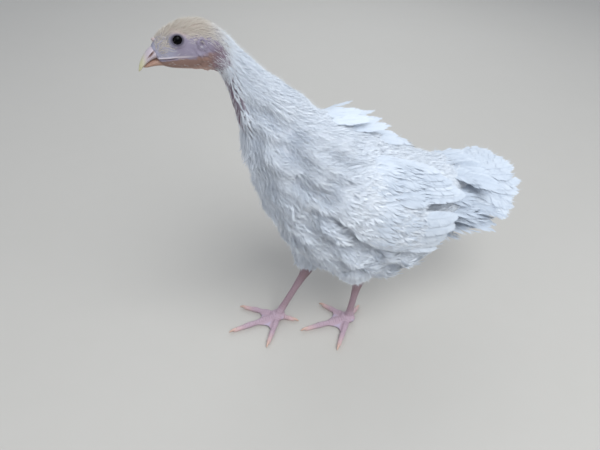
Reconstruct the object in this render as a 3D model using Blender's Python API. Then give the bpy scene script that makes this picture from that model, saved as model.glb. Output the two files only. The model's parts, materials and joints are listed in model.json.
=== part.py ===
"""A young white domestic turkey standing mid-step, life size, as closed solids.

The head faces -X, the bird's left side faces -Y and +Z is up. The design sizes are in
millimetres, and become metres when a mesh is made. The origin lies on the floor, under
the middle of the bird's length and width.
"""

import math
from collections import namedtuple

import bmesh
import bpy
import numpy as np
from mathutils import Matrix, Vector
from mathutils.bvhtree import BVHTree

MM = 0.001
GAP = 0.3
# In the drawing below, the middle of the bird's length lies at this x.
MIDDLE_X = -4.5
SIDES = {"left": -1.0, "right": 1.0}

# The body in profile: each station is a point on the back, one on the belly, both as
# (x, z), and the half width between them.
Station = namedtuple("Station", "back belly half_width")
HEAD_LINE = [
    Station((-215.5, 373.0), (-206.0, 355.5), 7.6),
    Station((-209.5, 382.0), (-200.0, 353.8), 10.8),
    Station((-200.5, 388.5), (-192.0, 352.6), 13.0),
    Station((-190.0, 392.3), (-184.0, 351.6), 14.2),
    Station((-179.5, 392.6), (-176.0, 350.3), 14.6),
    Station((-169.0, 389.8), (-169.0, 349.3), 14.5),
    Station((-160.0, 383.5), (-164.0, 348.0), 13.8),
    Station((-152.0, 375.5), (-160.5, 345.0), 13.0),
]
NECK_LINE = [
    Station((-142.0, 364.5), (-158.0, 340.5), 13.2),
    Station((-131.0, 353.5), (-154.5, 331.0), 14.5),
    Station((-119.0, 342.5), (-150.5, 318.0), 17.0),
    Station((-105.0, 331.0), (-146.5, 303.0), 21.0),
    Station((-89.0, 318.0), (-143.0, 286.0), 27.0),
]
TORSO_LINE = [
    Station((-73.0, 303.0), (-139.5, 267.0), 35.0),
    Station((-57.0, 291.0), (-135.0, 245.0), 44.0),
    Station((-40.0, 281.0), (-128.0, 220.0), 52.0),
    Station((-22.0, 272.0), (-118.0, 193.0), 58.0),
    Station((-3.0, 263.0), (-105.0, 166.0), 62.0),
    Station((16.0, 253.0), (-89.0, 139.0), 64.0),
    Station((35.0, 242.0), (-69.0, 114.0), 64.0),
    Station((54.0, 232.0), (-44.0, 92.0), 64.0),
    Station((71.0, 224.0), (-10.0, 78.0), 63.0),
    Station((86.0, 218.0), (28.0, 73.0), 59.0),
    Station((98.0, 214.0), (64.0, 82.0), 50.0),
]
RUMP_LINE = [
    Station((107.0, 211.0), (92.0, 104.0), 38.0),
    Station((115.0, 207.0), (110.0, 128.0), 28.0),
    Station((122.0, 201.0), (122.0, 152.0), 19.0),
    Station((128.0, 192.0), (129.0, 172.0), 9.0),
]
BODY_ROUNDNESS = 2.15
STEPS_PER_STATION = 2

# The head's own features.
EYE_CENTRE = (-196.0, 8.5, 379.4)
EYE_RADIUS = 5.2
EYE_LOOK = (-0.12, 0.95, 0.29)
LID_RADIUS, LID_TUBE, LID_STANDS_AT, LID_SQUASH = 4.8, 1.15, 3.9, 0.88
EAR_CENTRE = (-177.0, 13.0, 376.5)
EAR_RADIUS, EAR_TUBE, EAR_CUP = 2.7, 0.9, 2.3
SNOOD_ROOT, SNOOD_TIP, SNOOD_RADIUS = (-211.0, 0.0, 376.0), (-216.4, 0.0, 379.4), 2.6
MOUTH_FRONT, MOUTH_CORNER = (-212.0, 363.4), (-198.5, 365.2)
MOUTH_HEIGHT = 0.9

# The bill in profile, base first: ridge or tomium above, tomium or keel below.
UPPER_BILL = [
    Station((-215.3, 372.7), (-210.6, 363.4), 6.4),
    Station((-219.6, 369.2), (-214.6, 362.6), 5.9),
    Station((-223.6, 364.2), (-218.7, 360.4), 4.8),
    Station((-226.3, 358.8), (-222.5, 357.2), 3.4),
    Station((-227.4, 354.6), (-225.6, 353.8), 1.7),
    Station((-227.6, 352.6), (-227.0, 352.3), 0.5),
]
LOWER_BILL = [
    Station((-210.3, 362.7), (-206.6, 355.9), 5.8),
    Station((-214.2, 361.9), (-211.4, 356.3), 5.1),
    Station((-218.2, 359.6), (-216.3, 356.0), 3.9),
    Station((-221.2, 357.2), (-220.2, 355.4), 2.5),
    Station((-222.9, 355.9), (-222.6, 355.3), 0.8),
]
BILL_ROUNDNESS = 1.8
NOSTRIL_CENTRE = (-216.6, 5.4, 368.0)
NOSTRIL_HALF_SIZES = (3.3, 1.9, 1.2)
NOSTRIL_SLOPE = math.radians(48)

# The folded wing lies on a sheet wrapped round the body: at each x an ellipse of this
# centre height, half width and half height.
SHEET_X = (-80.0, -40.0, 0.0, 40.0, 80.0, 120.0)
SHEET_CENTRE_Z = (214.0, 196.0, 182.0, 170.0, 162.0, 158.0)
SHEET_HALF_WIDTH = (60.0, 68.0, 72.5, 72.0, 67.0, 57.0)
SHEET_HALF_HEIGHT = (66.0, 78.0, 80.0, 72.0, 58.0, 46.0)
# The wing's fleshy core on that sheet: x, middle angle, half angle, half thickness, and
# the height of its outer face over the sheet.
WING_CORE = [
    (-70.0, 18.0, 5.0, 3.0, -5.0),
    (-60.0, 18.0, 18.0, 7.0, -2.5),
    (-42.0, 19.0, 29.0, 10.5, 0.0),
    (-18.0, 18.0, 35.0, 12.0, 0.5),
    (8.0, 17.0, 34.0, 11.0, 0.0),
    (28.0, 18.0, 28.0, 7.0, -1.0),
    (40.0, 19.0, 17.0, 2.5, -2.0),
]
# Tiers of wing feathers: count, root x, root angles, tip x, tip angles, width, height of
# root and tip over the sheet, each pair given from the lowest feather to the highest.
Tier = namedtuple("Tier", "count root_x root_angle tip_x tip_angle width rise")
WING_TIERS = [
    Tier(6, (-2.0, 2.0), (-19.0, -2.0), (66.0, 84.0), (-23.0, 3.0), 14.0, (-5.0, -1.0)),
    Tier(5, (4.0, 8.0), (2.0, 16.0), (84.0, 87.0), (5.0, 19.0), 15.0, (-4.0, 0.5)),
    Tier(6, (0.0, -10.0), (32.0, 58.0), (98.0, 70.0), (40.0, 60.0), 17.0, (-2.0, 4.0)),
    Tier(8, (-22.0, -28.0), (-14.0, 56.0), (32.0, 46.0), (-13.0, 57.0), 18.0, (-3.5, 5.0)),
    Tier(6, (-60.0, -56.0), (-6.0, 44.0), (-8.0, 2.0), (-10.0, 48.0), 19.0, (-11.0, 5.0)),
]
VANE_ROLL = math.radians(9)

# The tail fan: its feathers spread from one root, the middle ones on top.
FAN_ROOT = (108.0, 0.0, 191.0)
FAN_COUNT = 14
FAN_NEAR, FAN_FAR = math.radians(-36), math.radians(34)
FAN_DROOP = math.radians(8)
FAN_ROLL = math.radians(18)
FAN_ARCH_NEAR, FAN_ARCH_FAR = 0.0056, 0.0034
FAN_LENGTHS = (84.0, 109.0, 117.0)
FAN_WIDTH = 21.0
FAN_LEVEL = 1.15
# Shorter feathers over and under the fan, row by row.
Coverts = namedtuple("Coverts", "count x z spread length width pitch")
TAIL_COVERTS = [
    Coverts(7, 106.0, 198.0, 27.0, 60.0, 17.0, -5.0),
    Coverts(6, 108.0, 168.0, 36.0, 80.0, 18.0, -9.0),
    Coverts(6, 104.0, 144.0, 36.0, 68.0, 18.0, -15.0),
]

# Ruffled feathers that stand out from the torso: the mantle on the right of the back, and
# the skirt round the vent and the flanks.
Ruffle = namedtuple("Ruffle", "x side_from side_to count length width lift sweep")
MANTLE = [
    Ruffle(-48.0, -4.0, 30.0, 4, 44.0, 14.0, 31.0, 0.0),
    Ruffle(-24.0, -4.0, 32.0, 5, 42.0, 13.0, 29.0, 0.0),
    Ruffle(8.0, -6.0, 18.0, 3, 34.0, 13.0, 18.0, 0.0),
]
SKIRT = [
    Ruffle(24.0, -156.0, -204.0, 4, 26.0, 12.0, 18.0, 45.0),
    Ruffle(46.0, -140.0, -220.0, 7, 30.0, 13.0, 14.0, 30.0),
    Ruffle(70.0, -126.0, -234.0, 8, 30.0, 13.0, 14.0, 20.0),
]
RUFFLE_AXIS_Z = 178.0
ROOT_DEPTH = 10.0

# Legs: knee inside the body, hock, and the middle of the foot, as (x, y, z) with y
# counted outward from the midline, and the length of the feathers that hang over the hock.
Leg = namedtuple("Leg", "knee hock pad hem toes")
Toe = namedtuple("Toe", "length heading root_radius tip_radius")
LEGS = {
    "left": Leg(
        (-20.0, 31.0, 120.0), (-3.5, 24.0, 70.0), (-6.8, 19.0, 0.0), 22.0,
        {
            "inner": Toe(44.4, 124.6, 4.5, 3.2),
            "middle": Toe(65.4, 180.0, 4.9, 3.3),
            "outer": Toe(55.3, -128.7, 4.6, 3.2),
            "hind": Toe(29.6, 34.4, 3.9, 3.0),
        },
    ),
    "right": Leg(
        (-47.0, 28.0, 126.0), (-54.0, 17.5, 68.0), (-90.2, 12.4, 0.0), 26.0,
        {
            "inner": Toe(53.0, -125.5, 4.5, 3.2),
            "middle": Toe(67.5, -174.8, 4.9, 3.3),
            "outer": Toe(52.7, 142.8, 4.6, 3.2),
            "hind": Toe(26.7, -35.0, 3.9, 3.0),
        },
    ),
}
THIGH_AT = (-0.36, -0.18, 0.15, 0.6, 1.0)
THIGH_RADII = (9.0, 20.0, 25.0, 21.0, 13.5)
THIGH_NARROW = 0.9
THIGH_ENDS_ABOVE_HOCK = 9.0
HEM_COUNT, HEM_WIDTH, HEM_SPLAY = 7, 12.0, 0.34
SHANK_RADII = (6.9, 8.2, 5.6, 4.6, 4.7, 5.6)
SHANK_AT = (-0.13, 0.0, 0.16, 0.45, 0.75, 1.0)
SHANK_NARROW, SHANK_DEPTH = 0.86, 1.01
SCUTES, SCUTE_STEP, SCUTE_OVERLAP = 7, 0.55, 0.5
ANKLE_HEIGHT = 13.0
PAD_RADIUS, PAD_HALF_HEIGHT = 7.0, 5.4
TOE_RINGS, KNUCKLES, KNUCKLE_SWELL = 7, 3, 0.10
CLAW_LENGTH = 9.0
CLAW_RADIUS = 2.3
WEB_REACH = 0.46
WEB_NOTCH = 0.62
WEB_LOW, WEB_HIGH = 0.6, 3.2
BLOCK_REACH = 140.0

# A feather's vane: shares of its length, and the width at each of them.
VANE_THICKNESS = 0.62
VANE_AT = (0.0, 0.3, 0.62, 0.86, 1.0)
VANE_SHAPE = (0.34, 0.8, 1.0, 0.82, 0.3)
FAN_SHAPE = (0.3, 0.62, 0.92, 1.0, 0.6)
# Feathers differ a little from one to the next.
VARIED = np.random.default_rng(8)


def paint(name, colour, roughness):
    """One material for each finish."""
    material = bpy.data.materials.new(name)
    material.use_nodes = True
    shader = material.node_tree.nodes["Principled BSDF"]
    shader.inputs["Base Color"].default_value = (*colour, 1.0)
    shader.inputs["Roughness"].default_value = roughness
    shader.inputs["Metallic"].default_value = 0.0
    return material


def clear_scene():
    for thing in list(bpy.data.objects):
        bpy.data.objects.remove(thing)


def new_object(name, points, faces, material=None):
    """A mesh object from points in millimetres, its faces turned outward."""
    mesh = bpy.data.meshes.new(name)
    mesh.from_pydata([tuple(c * MM for c in p) for p in points], [], faces)
    form = bmesh.new()
    form.from_mesh(mesh)
    bmesh.ops.recalc_face_normals(form, faces=form.faces)
    form.to_mesh(mesh)
    form.free()
    if material is not None:
        mesh.materials.append(material)
    thing = bpy.data.objects.new(name, mesh)
    bpy.context.scene.collection.objects.link(thing)
    return thing


def smooth_through(rows, steps):
    """A Catmull-Rom curve through rows of numbers, with this many steps between rows."""
    rows = np.array(rows, float)
    padded = np.vstack([2 * rows[0] - rows[1], rows, 2 * rows[-1] - rows[-2]])
    made = []
    for before, start, end, after in zip(padded, padded[1:], padded[2:], padded[3:]):
        for step in range(steps):
            t = step / steps
            made.append(0.5 * (
                2 * start + (end - before) * t
                + (2 * before - 5 * start + 4 * end - after) * t**2
                + (3 * start - before - 3 * end + after) * t**3
            ))
    return np.array(made + [rows[-1]])


def refined(stations, steps):
    rows = [(*s.back, *s.belly, s.half_width) for s in stations]
    return [Station((r[0], r[1]), (r[2], r[3]), r[4]) for r in smooth_through(rows, steps)]


def ring(station, sides, roundness, grow=0.0, shift=0.0):
    """The closed outline at one station, from the back round to the belly and up again.

    grow makes it larger all round, and shift moves it along the body, towards the tail.
    """
    back = np.array((station.back[0], 0.0, station.back[1]))
    belly = np.array((station.belly[0], 0.0, station.belly[1]))
    up = (back - belly) / 2
    middle = (back + belly) / 2
    half_height = np.linalg.norm(up)
    up /= half_height
    along = np.array((up[2], 0.0, -up[0]))
    middle = middle + along * shift
    points = []
    for k in range(sides):
        angle = 2 * math.pi * k / sides
        c, s = math.cos(angle), math.sin(angle)
        c = math.copysign(abs(c) ** (2 / roundness), c)
        s = math.copysign(abs(s) ** (2 / roundness), s)
        points.append(
            middle + up * (half_height + grow) * c
            + np.array((0.0, (station.half_width + grow) * s, 0.0))
        )
    return points


def skinned(rings):
    """Points and faces of a tube through rings of equal length, with flat ends."""
    sides = len(rings[0])
    points = [p for r in rings for p in r]
    faces = []
    for i in range(len(rings) - 1):
        for k in range(sides):
            a, b = i * sides + k, i * sides + (k + 1) % sides
            faces.append((a, b, b + sides, a + sides))
    faces.append(tuple(reversed(range(sides))))
    faces.append(tuple(range(len(points) - sides, len(points))))
    return points, faces


def body_length(name, stations, sides, material, roundness=BODY_ROUNDNESS, grow=0.0, open_by=GAP / 2):
    """A length of the body between two flat cuts, each drawn back by half the gap."""
    last = len(stations) - 1
    shifts = [0.0] * len(stations)
    shifts[0], shifts[last] = open_by, -open_by
    rings = [ring(s, sides, roundness, grow, shift) for s, shift in zip(stations, shifts)]
    return new_object(name, *skinned(rings), material)


def turned_ring(centre, along, radii, sides, up=(0.0, 0.0, 1.0)):
    """An ellipse of radii (across, upward) about a centre, square to a direction."""
    along = Vector(along).normalized()
    across = along.cross(Vector(up)).normalized()
    upward = across.cross(along)
    centre = Vector(centre)
    return [
        centre
        + across * (radii[0] * math.cos(2 * math.pi * k / sides))
        + upward * (radii[1] * math.sin(2 * math.pi * k / sides))
        for k in range(sides)
    ]


def ball(name, centre, radii, segments=16, rings=10, tilt=0.0):
    """An ellipsoid; tilt turns it about the Y axis."""
    form = bmesh.new()
    bmesh.ops.create_uvsphere(form, u_segments=segments, v_segments=rings, radius=1.0)
    points = []
    for v in form.verts:
        x, y, z = (v.co[i] * radii[i] for i in range(3))
        points.append((
            centre[0] + x * math.cos(tilt) + z * math.sin(tilt),
            centre[1] + y,
            centre[2] - x * math.sin(tilt) + z * math.cos(tilt),
        ))
    faces = [tuple(v.index for v in f.verts) for f in form.faces]
    form.free()
    return new_object(name, points, faces)


def hoop(name, centre, axis, radius, tube, sides=18, tube_sides=8, squash=1.0):
    """A closed ring about an axis, squashed in height by a factor."""
    axis = Vector(axis).normalized()
    across = axis.cross(Vector((0.0, 0.0, 1.0))).normalized()
    upward = across.cross(axis)
    points, faces = [], []
    for i in range(sides):
        a = 2 * math.pi * i / sides
        out = across * math.cos(a) + upward * math.sin(a) * squash
        for j in range(tube_sides):
            b = 2 * math.pi * j / tube_sides
            points.append(
                Vector(centre) + out * (radius + tube * math.cos(b)) + axis * tube * math.sin(b)
            )
    for i in range(sides):
        for j in range(tube_sides):
            near, far = i * tube_sides, (i + 1) % sides * tube_sides
            k = (j + 1) % tube_sides
            faces.append((near + j, far + j, far + k, near + k))
    return new_object(name, points, faces)


def block(name, corners):
    """A solid with six faces from eight corners: four round one end, then four round the other."""
    faces = [(3, 2, 1, 0), (4, 5, 6, 7)]
    faces += [(k, (k + 1) % 4, (k + 1) % 4 + 4, k + 4) for k in range(4)]
    return new_object(name, corners, faces)


def varied(value, share):
    """A value made longer or shorter by up to this share."""
    return value * (1.0 + share * VARIED.uniform(-1.0, 1.0))


def vane(name, path, faces_up, half_widths, thickness=VANE_THICKNESS):
    """A thin blade along a path: both faces are split into triangles alike."""
    points, count = [], len(path)
    for i, centre in enumerate(path):
        along = (Vector(path[min(i + 1, count - 1)]) - Vector(path[max(i - 1, 0)])).normalized()
        side = along.cross(Vector(faces_up[i])).normalized()
        normal = side.cross(along).normalized()
        for edge, face in ((-1, 1), (1, 1), (1, -1), (-1, -1)):
            points.append(
                Vector(centre) + side * edge * half_widths[i] + normal * face * thickness / 2
            )
    faces = []
    for i in range(count - 1):
        a, b = 4 * i, 4 * i + 4
        faces += [(a, a + 1, b), (a + 1, b + 1, b)]
        faces += [(a + 3, b + 3, a + 2), (a + 2, b + 3, b + 2)]
        faces += [(a, b, a + 3), (a + 3, b, b + 3)]
        faces += [(a + 1, a + 2, b + 1), (a + 2, b + 2, b + 1)]
    faces += [(0, 3, 1), (1, 3, 2)]
    end = 4 * (count - 1)
    faces += [(end, end + 1, end + 3), (end + 1, end + 2, end + 3)]
    return new_object(name, points, faces)


def combined(thing, others, operation, solver="EXACT"):
    """One Boolean of an object with others, applied, after which the others are removed.

    Only the largest closed surface of the result is kept.
    """
    group = bpy.data.collections.new("pieces")
    bpy.context.scene.collection.children.link(group)
    for other in others:
        for owner in list(other.users_collection):
            owner.objects.unlink(other)
        group.objects.link(other)
    modifier = thing.modifiers.new("join", "BOOLEAN")
    modifier.operation = operation
    modifier.operand_type = "COLLECTION"
    modifier.collection = group
    modifier.solver = solver
    bpy.context.view_layer.update()
    graph = bpy.context.evaluated_depsgraph_get()
    mesh = bpy.data.meshes.new_from_object(thing.evaluated_get(graph))
    materials = list(thing.data.materials)
    thing.modifiers.clear()
    thing.data = mesh
    for slot, material in enumerate(materials):
        if slot >= len(mesh.materials):
            mesh.materials.append(material)
    for other in list(group.objects):
        bpy.data.objects.remove(other)
    bpy.data.collections.remove(group)
    keep_largest_surface(thing)
    return thing


def keep_largest_surface(thing):
    form = bmesh.new()
    form.from_mesh(thing.data)
    unseen, islands = set(form.verts), []
    while unseen:
        island, waiting = set(), [unseen.pop()]
        while waiting:
            vertex = waiting.pop()
            island.add(vertex)
            for edge in vertex.link_edges:
                other = edge.other_vert(vertex)
                if other in unseen:
                    unseen.discard(other)
                    waiting.append(other)
        islands.append(island)
    islands.sort(key=len)
    loose = [v for island in islands[:-1] for v in island]
    bmesh.ops.delete(form, geom=loose, context="VERTS")
    for face in form.faces:
        face.material_index = 0
    form.to_mesh(thing.data)
    form.free()


def smooth_shaded(thing, angle=40.0):
    thing.data.shade_smooth()
    thing.data.set_sharp_from_angle(angle=math.radians(angle))


def mirrored(point, side):
    """A point given with y counted outward, set on the left or the right."""
    return (point[0], SIDES[side] * point[1], point[2])


def on_sheet(x, angle, rise):
    """A point on the wing's sheet, on the right side, at an angle above its widest line."""
    centre = np.interp(x, SHEET_X, SHEET_CENTRE_Z)
    width = np.interp(x, SHEET_X, SHEET_HALF_WIDTH) + rise
    height = np.interp(x, SHEET_X, SHEET_HALF_HEIGHT) + rise
    return (x, width * math.cos(math.radians(angle)), centre + height * math.sin(math.radians(angle)))


def sheet_normal(x, angle):
    width = np.interp(x, SHEET_X, SHEET_HALF_WIDTH)
    height = np.interp(x, SHEET_X, SHEET_HALF_HEIGHT)
    a = math.radians(angle)
    return Vector((0.0, math.cos(a) / width, math.sin(a) / height)).normalized()


def between(pair, t):
    return pair[0] + (pair[1] - pair[0]) * t


def wing_vanes(side):
    """The feathers of one folded wing, tier over tier."""
    made = []
    for level, tier in enumerate(WING_TIERS):
        for i in range(tier.count):
            t = i / (tier.count - 1)
            tip_x = between(tier.tip_x, t) + VARIED.uniform(-2.0, 2.0)
            path, ups, widths = [], [], []
            for at, shape in zip(VANE_AT, VANE_SHAPE):
                x = between((between(tier.root_x, t), tip_x), at)
                angle = between((between(tier.root_angle, t), between(tier.tip_angle, t)), at)
                rise = between(tier.rise, at**0.8)
                normal = sheet_normal(x, angle)
                lie = Vector((1.0, 0.0, 0.0)).cross(normal)
                up = normal * math.cos(VANE_ROLL) + lie * math.sin(VANE_ROLL)
                path.append(mirrored(on_sheet(x, angle, rise), side))
                ups.append(mirrored(up, side))
                widths.append(tier.width / 2 * shape)
            made.append(vane(f"wing_vane_{level}_{i}", path, ups, widths))
    return made


def wing_core(name, side, material):
    """The fleshy part of the wing, half sunk in the flank, which is then cut away."""
    rings = []
    for x, middle, half_angle, thickness, lifted in WING_CORE:
        outline = []
        for k in range(14):
            a = 2 * math.pi * k / 14
            angle = middle + half_angle * math.sin(a)
            rise = lifted + thickness * (math.cos(a) - 1.0)
            outline.append(mirrored(on_sheet(x, angle, rise), side))
        rings.append(outline)
    return new_object(name, *skinned(rings), material)


def fan_frame():
    """The tail fan's own directions: backward, to the bird's right, and up."""
    back = Vector((math.cos(FAN_DROOP), 0.0, -math.sin(FAN_DROOP)))
    right = Vector((0.0, math.cos(FAN_ROLL), math.sin(FAN_ROLL)))
    up = back.cross(right) * -1.0
    return back, right, up if up.z > 0 else up * -1.0


def fan_vanes():
    """The tail feathers, each outer one lying under its inner neighbour."""
    back, right, up = fan_frame()
    made = []
    middle = (FAN_COUNT - 1) / 2
    for i in range(FAN_COUNT):
        t = i / (FAN_COUNT - 1)
        heading = between((FAN_NEAR, FAN_FAR), t)
        length = varied(np.interp(t, (0.0, 0.45, 1.0), FAN_LENGTHS), 0.02)
        level = -FAN_LEVEL * (abs(i - middle) + (0.5 if i > middle else 0.0))
        aim = back * math.cos(heading) + right * math.sin(heading)
        path, ups, widths = [], [], []
        for at, shape in zip(VANE_AT, FAN_SHAPE):
            point = (
                Vector(FAN_ROOT) + right * 4.0 * math.sin(heading)
                + aim * length * at + up * level
            )
            arch = FAN_ARCH_FAR if point.y > 0 else FAN_ARCH_NEAR
            point.z -= arch * point.y**2
            path.append(point)
            ups.append(up + right * 2.0 * arch * point.y)
            widths.append(FAN_WIDTH / 2 * shape)
        made.append(vane(f"tail_vane_{i}", path, ups, widths))
    return made


def covert_vanes():
    """Shorter feathers over and under the fan's root."""
    made = []
    for row, tier in enumerate(TAIL_COVERTS):
        for i in range(tier.count):
            outward = 2 * i / (tier.count - 1) - 1
            heading = math.radians(tier.spread * outward)
            tilt = math.radians(tier.pitch)
            aim = Vector((
                math.cos(heading) * math.cos(tilt), math.sin(heading) * math.cos(tilt), math.sin(tilt)
            ))
            up = Vector((0.0, math.sin(FAN_ROLL) * -1.0, 1.0))
            up = (up - aim * up.dot(aim)).normalized()
            side = aim.cross(up)
            level = 1.2 * (i % 2) + 2.4 * (1 - abs(outward))
            root = Vector((tier.x, 12.0 * math.sin(heading), tier.z))
            length = varied(tier.length, 0.04)
            path = [root + aim * length * at + up * (level - 4.0 * at**2) for at in VANE_AT]
            ups = [up + side * 0.1] * len(path)
            widths = [tier.width / 2 * shape for shape in VANE_SHAPE]
            made.append(vane(f"covert_{row}_{i}", path, ups, widths))
    return made


def ruffle_vanes(rows, surface, prefix):
    """Feathers rooted on the torso, lifted off it by an angle and swept down or back."""
    made = []
    for row, ruffle in enumerate(rows):
        for i in range(ruffle.count):
            t = i / (ruffle.count - 1)
            angle = math.radians(between((ruffle.side_from, ruffle.side_to), t))
            middle = Vector((ruffle.x, 0.0, RUFFLE_AXIS_Z)) * MM
            away = Vector((0.0, math.sin(angle), math.cos(angle)))
            hit, normal, _, _ = surface.ray_cast(middle + away * 0.3, -away)
            if hit is None:
                continue
            sweep = math.radians(ruffle.sweep)
            lie = Vector((math.cos(sweep), 0.0, -math.sin(sweep)))
            lie = (lie - normal * lie.dot(normal)).normalized()
            lift = math.radians(ruffle.lift + 5.0 * (i % 2))
            aim = lie * math.cos(lift) + normal * math.sin(lift)
            up = normal * math.cos(lift) - lie * math.sin(lift)
            length = varied(ruffle.length * (1.0 - 0.14 * (i % 3)), 0.03) + ROOT_DEPTH
            root = hit / MM - aim * ROOT_DEPTH
            side = aim.cross(up)
            path = [root + aim * length * at - up * 6.0 * at**2 for at in VANE_AT]
            ups = [up + side * 0.16 * (1 if angle > 0 else -1)] * len(path)
            widths = [ruffle.width / 2 * shape for shape in VANE_SHAPE]
            made.append(vane(f"{prefix}_{row}_{i}", path, ups, widths))
    return made


def surface_of(thing):
    graph = bpy.context.evaluated_depsgraph_get()
    bpy.context.view_layer.update()
    return BVHTree.FromObject(thing, graph)


def make_head(material):
    head = body_length("head", refined(HEAD_LINE, STEPS_PER_STATION), 26, material)
    added, cut = [], []
    for side in SIDES:
        look = Vector(mirrored(EYE_LOOK, side)).normalized()
        eye = Vector(mirrored(EYE_CENTRE, side))
        lid_centre = eye + look * LID_STANDS_AT
        added.append(hoop(f"lid_{side}", lid_centre, look, LID_RADIUS, LID_TUBE, 16, 6, LID_SQUASH))
        ear = Vector(mirrored(EAR_CENTRE, side))
        out = Vector((0.0, SIDES[side], 0.12))
        added.append(hoop(f"ear_{side}", ear, out, EAR_RADIUS, EAR_TUBE, 12, 5, 1.2))
        cut.append(ball(f"socket_{side}", eye, [EYE_RADIUS + 1.5 * GAP] * 3, 12, 8))
        cut.append(ball(f"ear_cup_{side}", ear + out * 0.6, (EAR_CUP, EAR_CUP, EAR_CUP * 1.25), 10, 6))
        cut.append(mouth_cutter(side))
    root, tip = Vector(SNOOD_ROOT), Vector(SNOOD_TIP)
    bud = [
        turned_ring(root.lerp(tip, t), tip - root, (SNOOD_RADIUS * r, SNOOD_RADIUS * r), 8, (0, 1, 0))
        for t, r in ((-0.4, 1.0), (0.35, 0.95), (0.8, 0.7), (1.0, 0.25))
    ]
    added.append(new_object("snood", *skinned(bud)))
    combined(head, added, "UNION")
    combined(head, cut, "DIFFERENCE")
    return head


def mouth_cutter(side):
    """A thin wedge that marks the line of the mouth back to its corner."""
    front = Vector((MOUTH_FRONT[0], 0.0, MOUTH_FRONT[1]))
    corner = Vector((MOUTH_CORNER[0], 0.0, MOUTH_CORNER[1]))
    rings = []
    for t, height, inside in ((0.0, 1.0, 4.0), (0.55, 0.9, 7.0), (1.0, 0.35, 10.0)):
        middle = front.lerp(corner, t)
        half = MOUTH_HEIGHT / 2 * height
        rings.append([
            mirrored((middle.x, y, middle.z + half * up), side)
            for y, up in ((inside, 1), (inside + 12.0, 1), (inside + 12.0, -1), (inside, -1))
        ])
    return new_object(f"mouth_{side}", *skinned(rings))


def make_bill(name, stations, material):
    """One half of the bill; its base stands a gap off the face."""
    rings = []
    for i, s in enumerate(refined(stations, 2)):
        rings.append(ring(s, 14, BILL_ROUNDNESS, shift=-GAP if i == 0 else 0.0))
    return new_object(name, *skinned(rings), material)


def make_neck_and_torso(plumage):
    neck_line = refined([HEAD_LINE[-1], *NECK_LINE, TORSO_LINE[0]], STEPS_PER_STATION)
    torso_line = refined([TORSO_LINE[0], *TORSO_LINE[1:], RUMP_LINE[0]], 1)
    neck = body_length("neck", neck_line, 24, plumage)
    torso = body_length("torso", torso_line, 32, plumage)
    return neck, torso, torso_line


def ahead_of_rump():
    """A block that fills all the space ahead of the flat cut between torso and tail."""
    cut = RUMP_LINE[0]
    up = Vector((cut.back[0] - cut.belly[0], 0.0, cut.back[1] - cut.belly[1])).normalized()
    centre = Vector(((cut.back[0] + cut.belly[0]) / 2, 0.0, (cut.back[1] + cut.belly[1]) / 2))
    along = Vector((up.z, 0.0, -up.x))
    corners = [
        centre + along * shift + up * tall + Vector((0.0, wide, 0.0))
        for shift in (-BLOCK_REACH, GAP / 2)
        for tall, wide in (
            (-BLOCK_REACH, -BLOCK_REACH), (-BLOCK_REACH, BLOCK_REACH),
            (BLOCK_REACH, BLOCK_REACH), (BLOCK_REACH, -BLOCK_REACH),
        )
    ]
    return block("ahead", corners)


def torso_cutter(torso_line, name, grow=GAP * 1.5):
    """The torso made larger by the gap, which clears room for what lies against it."""
    return body_length(name, torso_line, 32, None, grow=grow, open_by=-4.0)


def leg_points(leg, side):
    return tuple(Vector(mirrored(point, side)) for point in (leg.knee, leg.hock, leg.pad))


def leg_ring(centre, axis, radius):
    """A ring of the shank or the ankle, deeper from front to back than it is wide."""
    radii = (radius * SHANK_NARROW, radius * SHANK_DEPTH)
    return turned_ring(centre, axis, radii, 10, (-1.0, 0.0, 0.0))


def make_thigh(side, leg, torso_line, plumage):
    """The feathered part of the leg, down to just above the hock."""
    knee, hock, _ = leg_points(leg, side)
    axis = (hock - knee).normalized()
    end = hock - axis * THIGH_ENDS_ABOVE_HOCK
    rings = []
    for t, radius in zip(THIGH_AT, THIGH_RADII):
        radii = (radius * THIGH_NARROW, radius)
        rings.append(turned_ring(knee.lerp(end, t), axis, radii, 18, (1, 0, 0)))
    thigh = new_object(f"thigh_{side}", *skinned(rings), plumage)
    across = axis.cross(Vector((1, 0, 0))).normalized()
    hem = []
    for i in range(HEM_COUNT):
        a = 2 * math.pi * (i + 0.5) / HEM_COUNT
        out = across * math.cos(a) + across.cross(axis) * math.sin(a)
        aim = (axis + out * HEM_SPLAY).normalized()
        root = knee.lerp(end, 0.55) + out * (THIGH_RADII[3] - 5.0)
        length = varied(leg.hem - 4.0 * (i % 2), 0.04)
        path = [root + aim * length * at for at in VANE_AT]
        widths = [HEM_WIDTH / 2 * shape for shape in VANE_SHAPE]
        hem.append(vane(f"hem_{side}_{i}", path, [out + across * 0.2] * len(path), widths))
    combined(thigh, hem, "UNION")
    combined(thigh, [torso_cutter(torso_line, "room")], "DIFFERENCE")
    return thigh


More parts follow.
